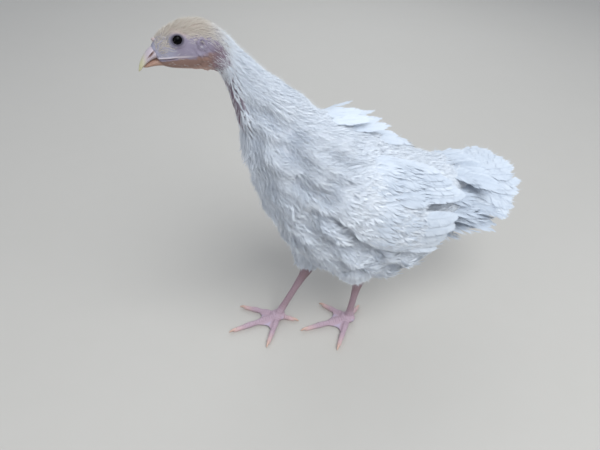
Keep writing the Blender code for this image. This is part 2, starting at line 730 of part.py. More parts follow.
def make_shank(side, leg, skin):
    """The bare scaled leg from the hock to the ankle, with raised plates in front."""
    knee, hock, pad = leg_points(leg, side)
    drop = pad + Vector((0, 0, ANKLE_HEIGHT)) - hock
    down, thigh_axis = drop.normalized(), (hock - knee).normalized()
    forward = Vector((-1.0, 0.0, 0.0))
    top = hock - thigh_axis * (THIGH_ENDS_ABOVE_HOCK - GAP)
    rings = [
        leg_ring(top, thigh_axis, SHANK_RADII[0]),
        leg_ring(hock, down + thigh_axis, SHANK_RADII[1]),
    ]
    for k in range(SCUTES + 1):
        t = 0.12 + 0.88 * k / SCUTES
        radius = np.interp(t, SHANK_AT, SHANK_RADII)
        centre = hock + drop * t
        outline = leg_ring(centre, down, radius)
        if k == 0:
            rings.append(outline)
            continue
        # Each plate ends in a low step, with the next one starting under it.
        rings.append([
            p + forward * SCUTE_STEP * max(0.0, (p - centre).dot(forward) / radius) - down * SCUTE_OVERLAP
            for p in outline
        ])
        rings.append(outline)
    return new_object(f"shank_{side}", *skinned(rings), skin)


def toe_aim(toe):
    heading = math.radians(toe.heading)
    return Vector((math.cos(heading), math.sin(heading), 0.0))


def make_toe(name, pad, toe):
    """One toe lying on the floor, with the swellings of its joints."""
    aim = toe_aim(toe)
    rings = []
    for k in range(TOE_RINGS):
        t = k / (TOE_RINGS - 1)
        radius = between((toe.root_radius, toe.tip_radius), t)
        radius *= 1.0 + KNUCKLE_SWELL * math.cos(t * KNUCKLES * 2 * math.pi)
        centre = pad + aim * ((toe.length - CLAW_LENGTH) * t)
        centre.z = radius * 0.72
        rings.append(turned_ring(centre, aim, (radius, radius * 0.92), 8))
    return new_object(name, *skinned(rings))


def make_web(name, pad, first, second):
    """The small skin fold between the roots of two front toes."""
    aim_a, aim_b = toe_aim(first), toe_aim(second)
    reach_a, reach_b = first.length * WEB_REACH, second.length * WEB_REACH
    middle = (aim_a + aim_b).normalized() * min(reach_a, reach_b) * WEB_NOTCH
    outline = [pad, pad + aim_a * reach_a, pad + middle, pad + aim_b * reach_b]
    return block(name, [Vector((c.x, c.y, z)) for z in (WEB_LOW, WEB_HIGH) for c in outline])


def make_foot(side, leg, skin):
    """The pad, the toes and the webs as one solid with flat soles at floor level."""
    _, hock, pad = leg_points(leg, side)
    ankle = pad + Vector((0, 0, ANKLE_HEIGHT))
    down = (ankle - hock).normalized()
    end_radius = SHANK_RADII[-1]
    rings = []
    swelling = ((0.0, end_radius), (0.37, end_radius * 1.08), (0.74, PAD_RADIUS), (1.06, PAD_RADIUS * 0.8))
    for t, radius in swelling:
        centre = ankle + down * GAP + (pad - ankle) * t
        rings.append(leg_ring(centre, down if t == 0.0 else Vector((0, 0, -1)), radius))
    foot = new_object(f"foot_{side}", *skinned(rings), skin)
    middle = (pad.x - 2.0, pad.y, 4.6)
    pieces = [ball("pad", middle, (PAD_RADIUS + 2.0, PAD_RADIUS + 1.0, PAD_HALF_HEIGHT), 14, 8)]
    pieces += [make_toe(name, pad, toe) for name, toe in leg.toes.items()]
    pieces.append(make_web("web_a", pad, leg.toes["inner"], leg.toes["middle"]))
    pieces.append(make_web("web_b", pad, leg.toes["middle"], leg.toes["outer"]))
    combined(foot, pieces, "UNION")
    below = [
        (pad.x + x * BLOCK_REACH, pad.y + y * BLOCK_REACH, z)
        for z in (-20.0, 0.0) for x, y in ((-1, -1), (1, -1), (1, 1), (-1, 1))
    ]
    combined(foot, [block("below", below)], "DIFFERENCE")
    return foot


def make_claws(side, leg, horn):
    """The curved claws, one at each toe's end."""
    _, _, pad = leg_points(leg, side)
    made = []
    for number, toe in enumerate(leg.toes.values(), 1):
        aim = toe_aim(toe)
        rings = []
        for t, share in ((0.0, 1.0), (0.35, 0.86), (0.7, 0.55), (1.0, 0.14)):
            centre = pad + aim * (toe.length - CLAW_LENGTH + GAP + (CLAW_LENGTH - GAP) * t)
            centre.z = toe.tip_radius * 0.95 + 0.7 * math.sin(t * math.pi) - 1.5 * t**2
            size = CLAW_RADIUS * share
            rings.append(turned_ring(centre, aim, (size * 0.8, size), 8))
        made.append(new_object(f"claw_{side}_{number}", *skinned(rings), horn))
    return made


def main():
    clear_scene()
    plumage = paint("plumage", (0.86, 0.88, 0.90), 0.85)
    face = paint("face_skin", (0.66, 0.56, 0.56), 0.6)
    leg_skin = paint("leg_skin", (0.60, 0.46, 0.48), 0.5)
    horn = paint("horn", (0.72, 0.62, 0.50), 0.4)
    eye = paint("eye", (0.02, 0.02, 0.03), 0.08)

    smooth_shaded(make_head(face))
    upper = make_bill("bill_upper", UPPER_BILL, horn)
    nostrils = [
        ball(f"nostril_{s}", mirrored(NOSTRIL_CENTRE, s), NOSTRIL_HALF_SIZES, 10, 6, NOSTRIL_SLOPE)
        for s in SIDES
    ]
    smooth_shaded(combined(upper, nostrils, "DIFFERENCE"))
    smooth_shaded(make_bill("bill_lower", LOWER_BILL, horn))
    for side in SIDES:
        ball_of_eye = ball(f"eye_{side}", mirrored(EYE_CENTRE, side), [EYE_RADIUS] * 3, 14, 8)
        ball_of_eye.data.materials.append(eye)
        smooth_shaded(ball_of_eye)

    neck, torso, torso_line = make_neck_and_torso(plumage)
    smooth_shaded(neck)
    surface = surface_of(torso)
    ruffles = ruffle_vanes(MANTLE, surface, "mantle") + ruffle_vanes(SKIRT, surface, "skirt")
    smooth_shaded(combined(torso, ruffles, "UNION"))

    tail = body_length("tail", refined(RUMP_LINE, STEPS_PER_STATION), 20, plumage)
    combined(tail, fan_vanes() + covert_vanes(), "UNION")
    smooth_shaded(combined(tail, [ahead_of_rump()], "DIFFERENCE"))

    for side, leg in LEGS.items():
        wing = wing_core(f"wing_{side}", side, plumage)
        combined(wing, wing_vanes(side), "UNION", "MANIFOLD")
        combined(wing, [torso_cutter(torso_line, "room")], "DIFFERENCE", "MANIFOLD")
        smooth_shaded(wing)
        smooth_shaded(make_thigh(side, leg, torso_line, plumage))
        smooth_shaded(make_shank(side, leg, leg_skin))
        smooth_shaded(make_foot(side, leg, leg_skin))
        for claw in make_claws(side, leg, horn):
            smooth_shaded(claw)

    for thing in bpy.data.objects:
        thing.data.transform(Matrix.Translation((-MIDDLE_X * MM, 0.0, 0.0)))


main()
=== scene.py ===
# %% [markdown]
# A young white turkey, life size, caught in the middle of a step. This lesson dresses the
# bird's plain solids: first one skin from the face to the toes, then the horny parts, and
# last the feathers, layer over layer. The solids are loaded first, because every piece has
# to lie where they are.

import json
import math
from collections import namedtuple

import bpy
import numpy as np
from mathutils import Matrix, Vector
from mathutils.kdtree import KDTree

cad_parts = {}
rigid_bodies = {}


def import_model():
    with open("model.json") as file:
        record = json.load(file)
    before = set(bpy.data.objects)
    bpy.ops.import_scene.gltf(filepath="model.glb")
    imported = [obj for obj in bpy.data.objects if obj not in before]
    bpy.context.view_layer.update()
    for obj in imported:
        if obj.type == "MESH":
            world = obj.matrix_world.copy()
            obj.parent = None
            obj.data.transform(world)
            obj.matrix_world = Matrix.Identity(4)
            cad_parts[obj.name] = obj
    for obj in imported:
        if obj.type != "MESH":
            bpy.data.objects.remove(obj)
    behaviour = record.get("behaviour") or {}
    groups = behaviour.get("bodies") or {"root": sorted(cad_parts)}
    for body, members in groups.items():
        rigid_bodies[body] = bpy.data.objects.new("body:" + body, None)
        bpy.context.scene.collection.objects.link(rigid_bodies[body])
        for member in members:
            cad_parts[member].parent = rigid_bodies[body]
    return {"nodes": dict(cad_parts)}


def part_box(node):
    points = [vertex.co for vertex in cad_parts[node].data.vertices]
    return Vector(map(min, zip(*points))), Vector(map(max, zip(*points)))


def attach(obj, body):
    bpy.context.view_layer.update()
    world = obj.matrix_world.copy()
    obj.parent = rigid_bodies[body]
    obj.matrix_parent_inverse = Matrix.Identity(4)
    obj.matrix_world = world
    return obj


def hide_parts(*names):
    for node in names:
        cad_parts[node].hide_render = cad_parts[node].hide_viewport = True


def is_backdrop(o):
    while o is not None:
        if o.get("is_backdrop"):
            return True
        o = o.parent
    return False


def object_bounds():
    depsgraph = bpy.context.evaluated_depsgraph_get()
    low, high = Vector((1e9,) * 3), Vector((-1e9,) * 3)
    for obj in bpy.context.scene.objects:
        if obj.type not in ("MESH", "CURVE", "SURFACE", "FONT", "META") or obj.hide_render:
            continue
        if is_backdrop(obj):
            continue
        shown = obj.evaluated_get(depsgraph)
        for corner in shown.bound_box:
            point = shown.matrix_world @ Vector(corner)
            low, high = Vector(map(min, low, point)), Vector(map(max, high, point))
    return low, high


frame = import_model()
cad_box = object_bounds()
print("solids:", len(frame["nodes"]), "nodes")

# %% [markdown]
# A photograph is matched by putting the camera where the photographer stood. A place, a
# point to look at, a roll and a focal length say all of it, and each is a value that a
# person can picture: half a metre up, looking down at a bird on the floor.

# %% Camera
CAMERA_PLACE = Vector((-0.2722, -0.4641, 0.5555))
CAMERA_TARGET = Vector((-0.0779, -0.0176, 0.1717))
CAMERA_ROLL = math.radians(3.97)
CAMERA_LENS = 34.88
NEAREST_SEEN = 0.01

ahead = (CAMERA_TARGET - CAMERA_PLACE).normalized()
level = ahead.cross(Vector((0.0, 0.0, 1.0))).normalized()
upright = level.cross(ahead)
right = level * math.cos(CAMERA_ROLL) + upright * math.sin(CAMERA_ROLL)
turned = Matrix((right, right.cross(ahead), -ahead)).transposed().to_4x4()
camera = bpy.data.objects.new("camera", bpy.data.cameras.new("camera"))
camera.data.lens = CAMERA_LENS
camera.data.clip_start = NEAREST_SEEN
camera.matrix_world = Matrix.Translation(CAMERA_PLACE) @ turned
bpy.context.scene.collection.objects.link(camera)
bpy.context.scene.camera = camera
print("camera", [round(c, 3) for c in CAMERA_PLACE], "lens", CAMERA_LENS, "mm")

# %% [markdown]
# The bird is drawn in millimetres. Its body is a line of stations from the bill's base to
# the tail, each with a point on the back, a point on the belly and the half width between
# them. A smooth curve through the stations gives the outside of the coat at any place, so
# skin and feathers can share one description.

# %% The body's profile
MM = 0.001
SHIFT_X = 4.5  # from the drawing's own origin to the middle of the bird's length
ROUNDNESS = 2.15
HEAD_LINE = [
    (-215.5, 373.0, -206.0, 355.5, 7.6), (-209.5, 382.0, -200.0, 353.8, 10.8),
    (-200.5, 388.5, -192.0, 352.6, 13.0), (-190.0, 392.3, -184.0, 351.6, 14.2),
    (-179.5, 392.6, -176.0, 350.3, 14.6), (-169.0, 389.8, -169.0, 349.3, 14.5),
    (-160.0, 383.5, -164.0, 348.0, 13.8), (-152.0, 375.5, -160.5, 345.0, 13.0),
]
NECK_LINE = [
    (-142.0, 364.5, -158.0, 340.5, 13.2), (-131.0, 353.5, -154.5, 331.0, 14.5),
    (-119.0, 342.5, -150.5, 318.0, 17.0), (-105.0, 331.0, -146.5, 303.0, 21.0),
    (-89.0, 318.0, -143.0, 286.0, 27.0),
]
TORSO_LINE = [
    (-73.0, 303.0, -139.5, 267.0, 35.0), (-57.0, 291.0, -135.0, 245.0, 44.0),
    (-40.0, 281.0, -128.0, 220.0, 52.0), (-22.0, 272.0, -118.0, 193.0, 58.0),
    (-3.0, 263.0, -105.0, 166.0, 62.0), (16.0, 253.0, -89.0, 139.0, 64.0),
    (35.0, 242.0, -69.0, 114.0, 64.0), (54.0, 232.0, -44.0, 92.0, 64.0),
    (71.0, 224.0, -10.0, 78.0, 63.0), (86.0, 218.0, 28.0, 73.0, 59.0),
    (98.0, 214.0, 64.0, 82.0, 50.0),
]
RUMP_LINE = [
    (107.0, 211.0, 92.0, 104.0, 38.0), (115.0, 207.0, 110.0, 128.0, 28.0),
    (122.0, 201.0, 122.0, 152.0, 19.0), (128.0, 192.0, 129.0, 172.0, 9.0),
]
STEPS = 24
# Feathers at the rump reach past the body's end, so the profile runs on a little.
RUN_ON, RUN_ON_DROP = 60.0, 6.0


def smooth_through(rows, steps):
    """A smooth curve through rows of numbers, with this many steps between rows."""
    rows = np.array(rows, float)
    padded = np.vstack([2 * rows[0] - rows[1], rows, 2 * rows[-1] - rows[-2]])
    made = []
    for before, start, end, after in zip(padded, padded[1:], padded[2:], padded[3:]):
        t = np.arange(steps)[:, None] / steps
        made.append(0.5 * (
            2 * start + (end - before) * t
            + (2 * before - 5 * start + 4 * end - after) * t**2
            + (3 * start - before - 3 * end + after) * t**3
        ))
    return np.vstack([*made, rows[-1:]])


profile = smooth_through(HEAD_LINE + NECK_LINE + TORSO_LINE + RUMP_LINE, STEPS)
middles = (profile[:, 0:2] + profile[:, 2:4]) / 2
distance = np.concatenate([[0.0], np.cumsum(np.linalg.norm(np.diff(middles, axis=0), axis=1))])
BODY_LENGTH = distance[-1]
HEAD_END = distance[STEPS * len(HEAD_LINE) - STEPS]
NECK_END = distance[STEPS * (len(HEAD_LINE) + len(NECK_LINE))]
RUMP_START = distance[STEPS * (len(HEAD_LINE) + len(NECK_LINE) + len(TORSO_LINE))]
run_on = np.array((RUN_ON, -RUN_ON_DROP, RUN_ON, -RUN_ON_DROP, 0.0))
profile = np.vstack([profile, profile[-1] + run_on])
distance = np.append(distance, BODY_LENGTH + RUN_ON)
print(f"body {BODY_LENGTH:.0f} mm, head to {HEAD_END:.0f}, neck to {NECK_END:.0f}")

# %% [markdown]
# A few small helpers carry the whole lesson. A surface is a function of two numbers, a
# distance u along it and an angle a round it. From any such function the directions along,
# round and outward can be measured, and a path can be walked over it, which is what a
# feather does as it lies on a body.


# %% Surfaces and directions
SMALL_U, SMALL_A = 0.5, 0.012
# A surface is taken to be at least this wide, so that no path races round its thin end.
LEAST_ALONG, LEAST_AROUND = 0.3, 4.0


def unit(v):
    return v / np.maximum(np.linalg.norm(v, axis=-1, keepdims=True), 1e-9)


def ramp(x, start, end):
    """Rises smoothly from 0 at start to 1 at end."""
    t = np.clip((x - start) / (end - start), 0.0, 1.0)
    return t * t * (3.0 - 2.0 * t)


def hill(x, centre, width):
    return np.exp(-(((x - centre) / width) ** 2))


def power(x, exponent):
    return np.sign(x) * np.abs(x) ** exponent


def body_point(u, a, rise=0.0):
    """The coat's outside at a distance u from the face and an angle a from the back round
    the bird's left side."""
    u, a = np.broadcast_arrays(np.asarray(u, float), np.asarray(a, float))
    row = np.stack([np.interp(u, distance, profile[:, k]) for k in range(5)], axis=-1)
    back, belly = row[..., 0:2], row[..., 2:4]
    half = (back - belly) / 2
    height = np.linalg.norm(half, axis=-1)
    c = power(np.cos(a), 2 / ROUNDNESS) * (1.0 + rise / height)
    xz = (back + belly) / 2 + half * c[..., None]
    y = -(row[..., 4] + rise) * power(np.sin(a), 2 / ROUNDNESS)
    return np.stack([xz[..., 0], y, xz[..., 1]], axis=-1)


def directions(surface, u, a, flip=1.0):
    """How a surface runs along and round at (u, a), and its outward direction."""
    along = (surface(u + SMALL_U, a) - surface(u - SMALL_U, a)) / (2 * SMALL_U)
    around = (surface(u, a + SMALL_A) - surface(u, a - SMALL_A)) / (2 * SMALL_A)
    return along, around, unit(np.cross(around, along)) * flip


def walk(surface, u, a, heading, length, steps, flip=1.0):
    """Points and outward directions at even steps over a surface, away from each root."""
    points, outs = [], []
    pace = length / (steps - 1)
    for _ in range(steps):
        along, around, out = directions(surface, u, a, flip)
        points.append(surface(u, a))
        outs.append(out)
        u = u + np.cos(heading) * pace / np.maximum(np.linalg.norm(along, axis=-1), LEAST_ALONG)
        a = a + np.sin(heading) * pace / np.maximum(np.linalg.norm(around, axis=-1), LEAST_AROUND)
    return np.stack(points, axis=1), np.stack(outs, axis=1)


def waves(points, wavelength, seed, count=7):
    """Smooth noise from about -1 to 1, as a sum of waves in random directions."""
    rng = np.random.default_rng(seed)
    total = 0.0
    for _ in range(count):
        direction = unit(rng.normal(size=3)) * 2 * math.pi / wavelength * rng.uniform(0.7, 1.4)
        total = total + np.sin(points @ direction + rng.uniform(0, 2 * math.pi))
    return total / math.sqrt(count)


print("crown", body_point(30.0, 0.0).round(1), "breast", body_point(NECK_END + 40, math.pi).round(1))

# %% [markdown]
# Thousands of feathers mean more than a million triangles, so meshes are made from whole
# arrays rather than vertex by vertex. A shape here is its points, its faces, its places on
# the unwrap of the skin, and a few named marks that the materials read, such as how bare
# the skin is at a point.

# %% Shapes and pieces
Shape = namedtuple("Shape", "points faces places marks")


def joined(shapes):
    """Several shapes, all of triangles or all of four-sided faces, as one."""
    starts = np.cumsum([0] + [len(s.points) for s in shapes[:-1]])
    faces = np.concatenate([s.faces + start for s, start in zip(shapes, starts)])
    places = None if shapes[0].places is None else np.concatenate([s.places for s in shapes])
    marks = {key: np.concatenate([s.marks[key] for s in shapes]) for key in shapes[0].marks}
    return Shape(np.concatenate([s.points for s in shapes]), faces, places, marks)


def as_mesh(name, shape):
    """A Blender mesh in metres, shaded smooth."""
    corners = shape.faces.shape[1]
    mesh = bpy.data.meshes.new(name)
    mesh.vertices.add(len(shape.points))
    mesh.vertices.foreach_set("co", ((shape.points + np.array((SHIFT_X, 0, 0))) * MM).ravel())
    mesh.loops.add(shape.faces.size)
    mesh.loops.foreach_set("vertex_index", shape.faces.ravel().astype(np.int32))
    mesh.polygons.add(len(shape.faces))
    mesh.polygons.foreach_set("loop_start", np.arange(0, shape.faces.size, corners, dtype=np.int32))
    mesh.polygons.foreach_set("use_smooth", np.full(len(shape.faces), True))
    mesh.update(calc_edges=True)
    if shape.places is not None:
        layer = mesh.uv_layers.new(name="OFBake")
        layer.uv.foreach_set("vector", shape.places[shape.faces.ravel()].ravel().astype(np.float32))
    for key, values in shape.marks.items():
        mark = mesh.attributes.new(key, "FLOAT", "POINT")
        mark.data.foreach_set("value", np.asarray(values, np.float32))
    return mesh


def make_piece(name, shape, material, slot, *nodes):
    """An object that rides on the bird, takes a finish and may stand for solids."""
    piece = bpy.data.objects.new(name, as_mesh(name, shape))
    bpy.context.scene.collection.objects.link(piece)
    piece.data.materials.append(material)
    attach(piece, "root")
    if nodes:
        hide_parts(*nodes)
    print(name, len(shape.faces) * (shape.faces.shape[1] - 2), "triangles")
    return piece


def loft(rings):
    """A tube of triangles through rings of points, each end closed round its middle."""
    rings = np.asarray(rings, float)
    count, sides = rings.shape[:2]
    k = np.arange(sides)
    after = (k + 1) % sides
    faces = []
    for start in np.arange(count - 1) * sides:
        a, b = start + k, start + after
        faces.append(np.stack([a, b, b + sides], axis=1))
        faces.append(np.stack([a, b + sides, a + sides], axis=1))
    last, first_middle = (count - 1) * sides, count * sides
    faces.append(np.stack([after, k, np.full(sides, first_middle)], axis=1))
    faces.append(np.stack([last + k, last + after, np.full(sides, first_middle + 1)], axis=1))
    ends = rings[[0, -1]].mean(axis=1)
    return Shape(np.concatenate([rings.reshape(-1, 3), ends]), np.concatenate(faces), None, {})


def ring_about(centre, axis, radii, up, sides=24):
    """An ellipse of radii (across, upward) about a centre, square to an axis."""
    axis = unit(np.asarray(axis, float))
    across = unit(np.cross(axis, up))
    upward = np.cross(across, axis)
    angle = 2 * math.pi * np.arange(sides)[:, None] / sides
    return np.asarray(centre) + across * radii[0] * np.cos(angle) + upward * radii[1] * np.sin(angle)


print("a shape has", ", ".join(Shape._fields))

# %% [markdown]
# Colour on a living bird is never flat. Two shader groups give that to every finish: one
# makes a soft mottle at two scales, the other turns a pattern of cells into fine relief,
# for pores and small scales. They hand out masks and normals only, and each material keeps
# its own shader.


# %% Shader groups
FLOAT, VECTOR = "NodeSocketFloat", "NodeSocketVector"
FINER = 5.3  # how many times finer the small mottle is than the broad one
CELL_EDGE = 0.22


def new_group(name, inputs, outputs):
    """A node group with named number inputs, each with its usual value, and named outputs."""
    group = bpy.data.node_groups.new(name, "ShaderNodeTree")
    for title, value in inputs.items():
        socket = group.interface.new_socket(title, in_out="INPUT", socket_type=FLOAT)
        socket.default_value = value
    for title, kind in outputs.items():
        group.interface.new_socket(title, in_out="OUTPUT", socket_type=kind)
    return group, group.nodes.new("NodeGroupInput"), group.nodes.new("NodeGroupOutput")


def add_node(tree, kind, **values):
    """A shader node, with some of its inputs set."""
    node = tree.nodes.new("ShaderNode" + kind)
    for title, value in values.items():
        node.inputs[title.replace("_", " ")].default_value = value
    return node


def wire(tree, *rows):
    """Links, each given as a node, its output, another node and its input."""
    for start, output, end, taken in rows:
        tree.links.new(start.outputs[output], end.inputs[taken])


def mottle_group():
    """A soft mask of light and dark patches, broad ones and fine ones together."""
    group, given, result = new_group("soft_mottle", {"Scale": 40.0, "Fine Share": 0.4}, {"Mask": FLOAT})
    place = add_node(group, "TexCoord")
    broad = add_node(group, "TexNoise", Detail=3.0)
    fine = add_node(group, "TexNoise", Detail=2.0)
    finer = add_node(group, "Math")
    finer.operation = "MULTIPLY"
    finer.inputs[1].default_value = FINER
    mix = add_node(group, "Mix")
    spread = add_node(group, "MapRange", From_Min=0.3, From_Max=0.7)
    wire(
        group,
        (place, "Object", broad, "Vector"),
        (place, "Object", fine, "Vector"),
        (given, "Scale", broad, "Scale"),
        (given, "Scale", finer, 0),
        (finer, 0, fine, "Scale"),
        (given, "Fine Share", mix, "Factor"),
        (broad, "Fac", mix, "A"),
        (fine, "Fac", mix, "B"),
        (mix, "Result", spread, "Value"),
        (spread, "Result", result, "Mask"),
    )
    return group


def relief_group():
    """A normal that raises small cells between fine grooves."""
    group, given, result = new_group(
        "cell_relief", {"Scale": 900.0, "Depth": 0.0002}, {"Normal": VECTOR}
    )
    place = add_node(group, "TexCoord")
    cells = add_node(group, "TexVoronoi")
    cells.feature = "DISTANCE_TO_EDGE"
    edge = add_node(group, "MapRange", From_Max=CELL_EDGE)
    bump = add_node(group, "Bump", Strength=0.7)
    wire(
        group,
        (place, "Object", cells, "Vector"),
        (given, "Scale", cells, "Scale"),
        (cells, "Distance", edge, "Value"),
        (edge, "Result", bump, "Height"),
        (given, "Depth", bump, "Distance"),
        (bump, "Normal", result, "Normal"),
    )
    return group


MOTTLE, RELIEF = mottle_group(), relief_group()
print("groups:", MOTTLE.name, RELIEF.name)


# %% [markdown]
# A small class keeps the node code short. It makes a material with its shader, and lays
# one colour after another over the base colour, each by a mask that the mesh carries as a
# mark or that a group gives. The first colour is a plain value on the first mix.


# %% Build a finish
class Finish:
    """A material whose base colour is built up by masks."""

    def __init__(self, name, colour, roughness):
        self.material = bpy.data.materials.new(name)
        self.material.use_nodes = True
        self.tree = self.material.node_tree
        self.link = self.tree.links.new
        self.shader = self.tree.nodes["Principled BSDF"]
        self.shader.inputs["Roughness"].default_value = roughness
        self.first, self.colour = colour, None

    def mark(self, name):
        node = add_node(self.tree, "Attribute")
        node.attribute_name = name
        return node.outputs["Fac"]

    def group(self, tree, **values):
        node = self.tree.nodes.new("ShaderNodeGroup")
        node.node_tree = tree
        for title, value in values.items():
            node.inputs[title].default_value = value
        return node.outputs

    def mottle(self, scale):
        return self.group(MOTTLE, Scale=scale)["Mask"]

    def relief(self, scale, depth):
        made = self.group(RELIEF, Scale=scale, Depth=depth)
        self.link(made["Normal"], self.shader.inputs["Normal"])

    def scaled(self, mask, low, high):
        """A mask spread over another range."""
        node = add_node(self.tree, "MapRange", To_Min=low, To_Max=high)
        self.link(mask, node.inputs["Value"])
        return node.outputs["Result"]

    def both(self, first, second):
        node = add_node(self.tree, "Math")
        node.operation = "MULTIPLY"
        self.link(first, node.inputs[0])
        self.link(second, node.inputs[1])
        return node.outputs[0]

    def over(self, mask, colour, most=1.0):
        """Lays a colour over what is there, where the mask is 1, and at most this strongly."""
        if most < 1.0:
            mask = self.scaled(mask, 0.0, most)
        node = add_node(self.tree, "Mix")
        node.data_type = "RGBA"
        node.inputs["A"].default_value = (*self.first, 1.0)
        node.inputs["B"].default_value = (*colour, 1.0)
        self.link(mask, node.inputs["Factor"])
        if self.colour is not None:
            self.link(self.colour, node.inputs["A"])
        self.colour = node.outputs["Result"]

    def done(self, **values):
        """Joins the colour to the shader and sets its plain values."""
        self.link(self.colour, self.shader.inputs["Base Color"])
        for title, value in values.items():
            self.shader.inputs[title.replace("_", " ")].default_value = value
        return self.material


def linear(tone):
    """One channel as it looks on a screen, from 0 to 255, as Blender's linear value."""
    share = tone / 255
    return share / 12.92 if tone <= 10 else ((share + 0.055) / 1.055) ** 2.4


def rgb(red, green, blue):
    return linear(red), linear(green), linear(blue)


print("a tone of 128 is", round(linear(128), 3), "in linear light")

# %% [markdown]
# Each part of the bird gets its finish from the same steps. Bare skin is lilac with painted
# shade in its folds, the legs are pink with plates, feathers are white with a cooler painted
# shade toward the root, and horn is a pale brown that fades at the tip. The eye is nearly black and wet.


# %% Finishes
SKIN_TONES = {
    "front": (rgb(160, 157, 174), 1.0),
    "crown": (rgb(190, 172, 162), 1.0),
    "jaw": (rgb(146, 116, 106), 1.0),
    "chin": (rgb(204, 170, 158), 1.0),
    "lip": (rgb(214, 202, 206), 0.85),
    "throat": (rgb(120, 100, 114), 1.0),
}
LEG_TONES = {
    "shank": (rgb(166, 140, 149), 1.0),
    "web": (rgb(190, 174, 192), 1.0),
    "groove": (rgb(128, 98, 106), 0.5),
    "hock": (rgb(120, 94, 92), 0.85),
    "tip": (rgb(226, 190, 178), 0.7),
}
# The first is painted shade for the nostril's slit, the second the pale cutting edge.
NOSTRIL_SHADE, EDGE_TONE = rgb(112, 84, 76), rgb(222, 212, 214)


def skin_finish():
    """Bare skin: lilac face, brown jaw, purple throat, tan crown, white under the feathers."""
    finish = Finish("bare_skin", rgb(148, 140, 156), 0.55)
    blotches = finish.both(finish.mottle(260.0), finish.scaled(finish.mark("bare"), 0.0, 0.6))
    finish.over(blotches, rgb(132, 120, 142))
    for name, (colour, most) in SKIN_TONES.items():
        finish.over(finish.mark(name), colour, most)
    # Painted shade in the folds, creases, ear, mouth line and nostril, broken up by a fine mottle.
    painted_creases = finish.both(finish.mark("fold"), finish.scaled(finish.mottle(500.0), 0.5, 1.0))
    finish.over(painted_creases, rgb(104, 90, 104))
    finish.over(finish.mark("lid"), rgb(82, 77, 90))
    finish.over(finish.mark("plumed"), rgb(226, 228, 234))
    finish.relief(1500.0, 0.00016)
    return finish.done(Specular_IOR_Level=0.35)


def leg_finish():
    """Leg skin: pink plates with darker joints between them, under fine cells."""
    finish = Finish("leg_skin", rgb(190, 166, 179), 0.5)
    finish.over(finish.mottle(120.0), rgb(184, 156, 166), 0.55)
    for name, (colour, most) in LEG_TONES.items():
        finish.over(finish.mark(name), colour, most)
    finish.relief(900.0, 0.00022)
    return finish.done(Specular_IOR_Level=0.45)


def plumage_finish(name, white, shade, tip):
    """White feathers: a tone from feather to feather, partly random and partly painted shade in the
    hollows, and painted shade deeper toward each feather's root.
    """
    finish = Finish(name, white, 0.82)
    # Tone from feather to feather: partly random, and partly painted shade in the hollows between tufts.
    finish.over(finish.mark("tone"), shade, 0.6)
    finish.over(finish.mottle(30.0), shade, 0.3)
    # Painted shade toward the root of each feather.
    finish.over(finish.scaled(finish.mark("reach"), 0.2, 0.0), shade)
    finish.over(finish.mark("tan"), tip)
    return finish.done(Specular_IOR_Level=0.2, Sheen_Weight=0.25, Sheen_Roughness=0.6)


def horn_finish(name, base, tip, deep):
    """Horn of a bill or a claw, with a paler cutting edge."""
    finish = Finish(name, base, 0.38)
    finish.over(finish.mottle(300.0), deep, 0.45)
    finish.over(finish.mark("tip"), tip)
    # Painted shade in the nostril's slit.
    finish.over(finish.mark("slit"), NOSTRIL_SHADE)
    finish.over(finish.mark("edge"), EDGE_TONE)
    finish.relief(2600.0, 0.00005)
    return finish.done(Coat_Weight=0.25, Coat_Roughness=0.25)


def eye_finish():
    finish = Finish("eye", rgb(6, 4, 4), 0.1)
    finish.over(finish.mottle(900.0), rgb(4, 3, 3), 0.6)
    finish.over(finish.mark("pupil"), rgb(2, 2, 3))
    finish.over(finish.mark("rim"), rgb(6, 5, 6))
    return finish.done(Coat_Weight=0.08, Coat_Roughness=0.04, Specular_IOR_Level=0.03)


SKIN, LEG = skin_finish(), leg_finish()
CREAM = rgb(236, 226, 208)
PLUMAGE = plumage_finish("plumage", rgb(240, 243, 247), rgb(186, 195, 209), CREAM)
# The vanes' finish is the plumage darkened: partly a grey tinge of wing and tail, partly painted shade,
# because their broad vanes face the lamp and would look brighter.
VANE_TINT_AND_SHADE = plumage_finish("vane_plumage_tint_and_shade", rgb(222, 228, 236), rgb(184, 194, 208), CREAM)
DOWN = plumage_finish("down", rgb(236, 238, 242), rgb(208, 212, 220), rgb(202, 190, 174))
HORN = horn_finish("bill_horn", rgb(192, 180, 188), rgb(204, 200, 156), rgb(176, 158, 160))
JAW_HORN = horn_finish("lower_bill_horn", rgb(170, 134, 116), rgb(178, 150, 122), rgb(146, 112, 98))
CLAW = horn_finish("claw_horn", rgb(214, 182, 174), rgb(206, 170, 148), rgb(194, 160, 156))
EYE = eye_finish()
print("finishes:", len(bpy.data.materials))

# %% [markdown]
# One skin covers the bird from the face to the toes. Under the plumage it lies as deep
# as the coat is thick, and on the face it comes out to the solid's own surface. The rings
# stand close together on the head, where the lids and folds need fine faces, and wide
# apart under the feathers.

# %% Skin depth
FINE_STEP, COARSE_STEP = 0.42, 2.6
FINE_UNTIL, COARSE_FROM = 52.0, 130.0
SKIN_SIDES = 220
SIDES = {"left": -1.0, "right": 1.0}
# Half angles in radians at distances down the neck: the bare strip, and the pin feathers.
STRIP_AT, STRIP_HALF = (HEAD_END - 8, HEAD_END + 8, HEAD_END + 45, NECK_END - 15), (1.3, 0.72, 0.38, 0.1)
PINS_AT, PINS_HALF = (HEAD_END, HEAD_END + 12, HEAD_END + 45, NECK_END), (2.0, 1.5, 1.0, 0.45)
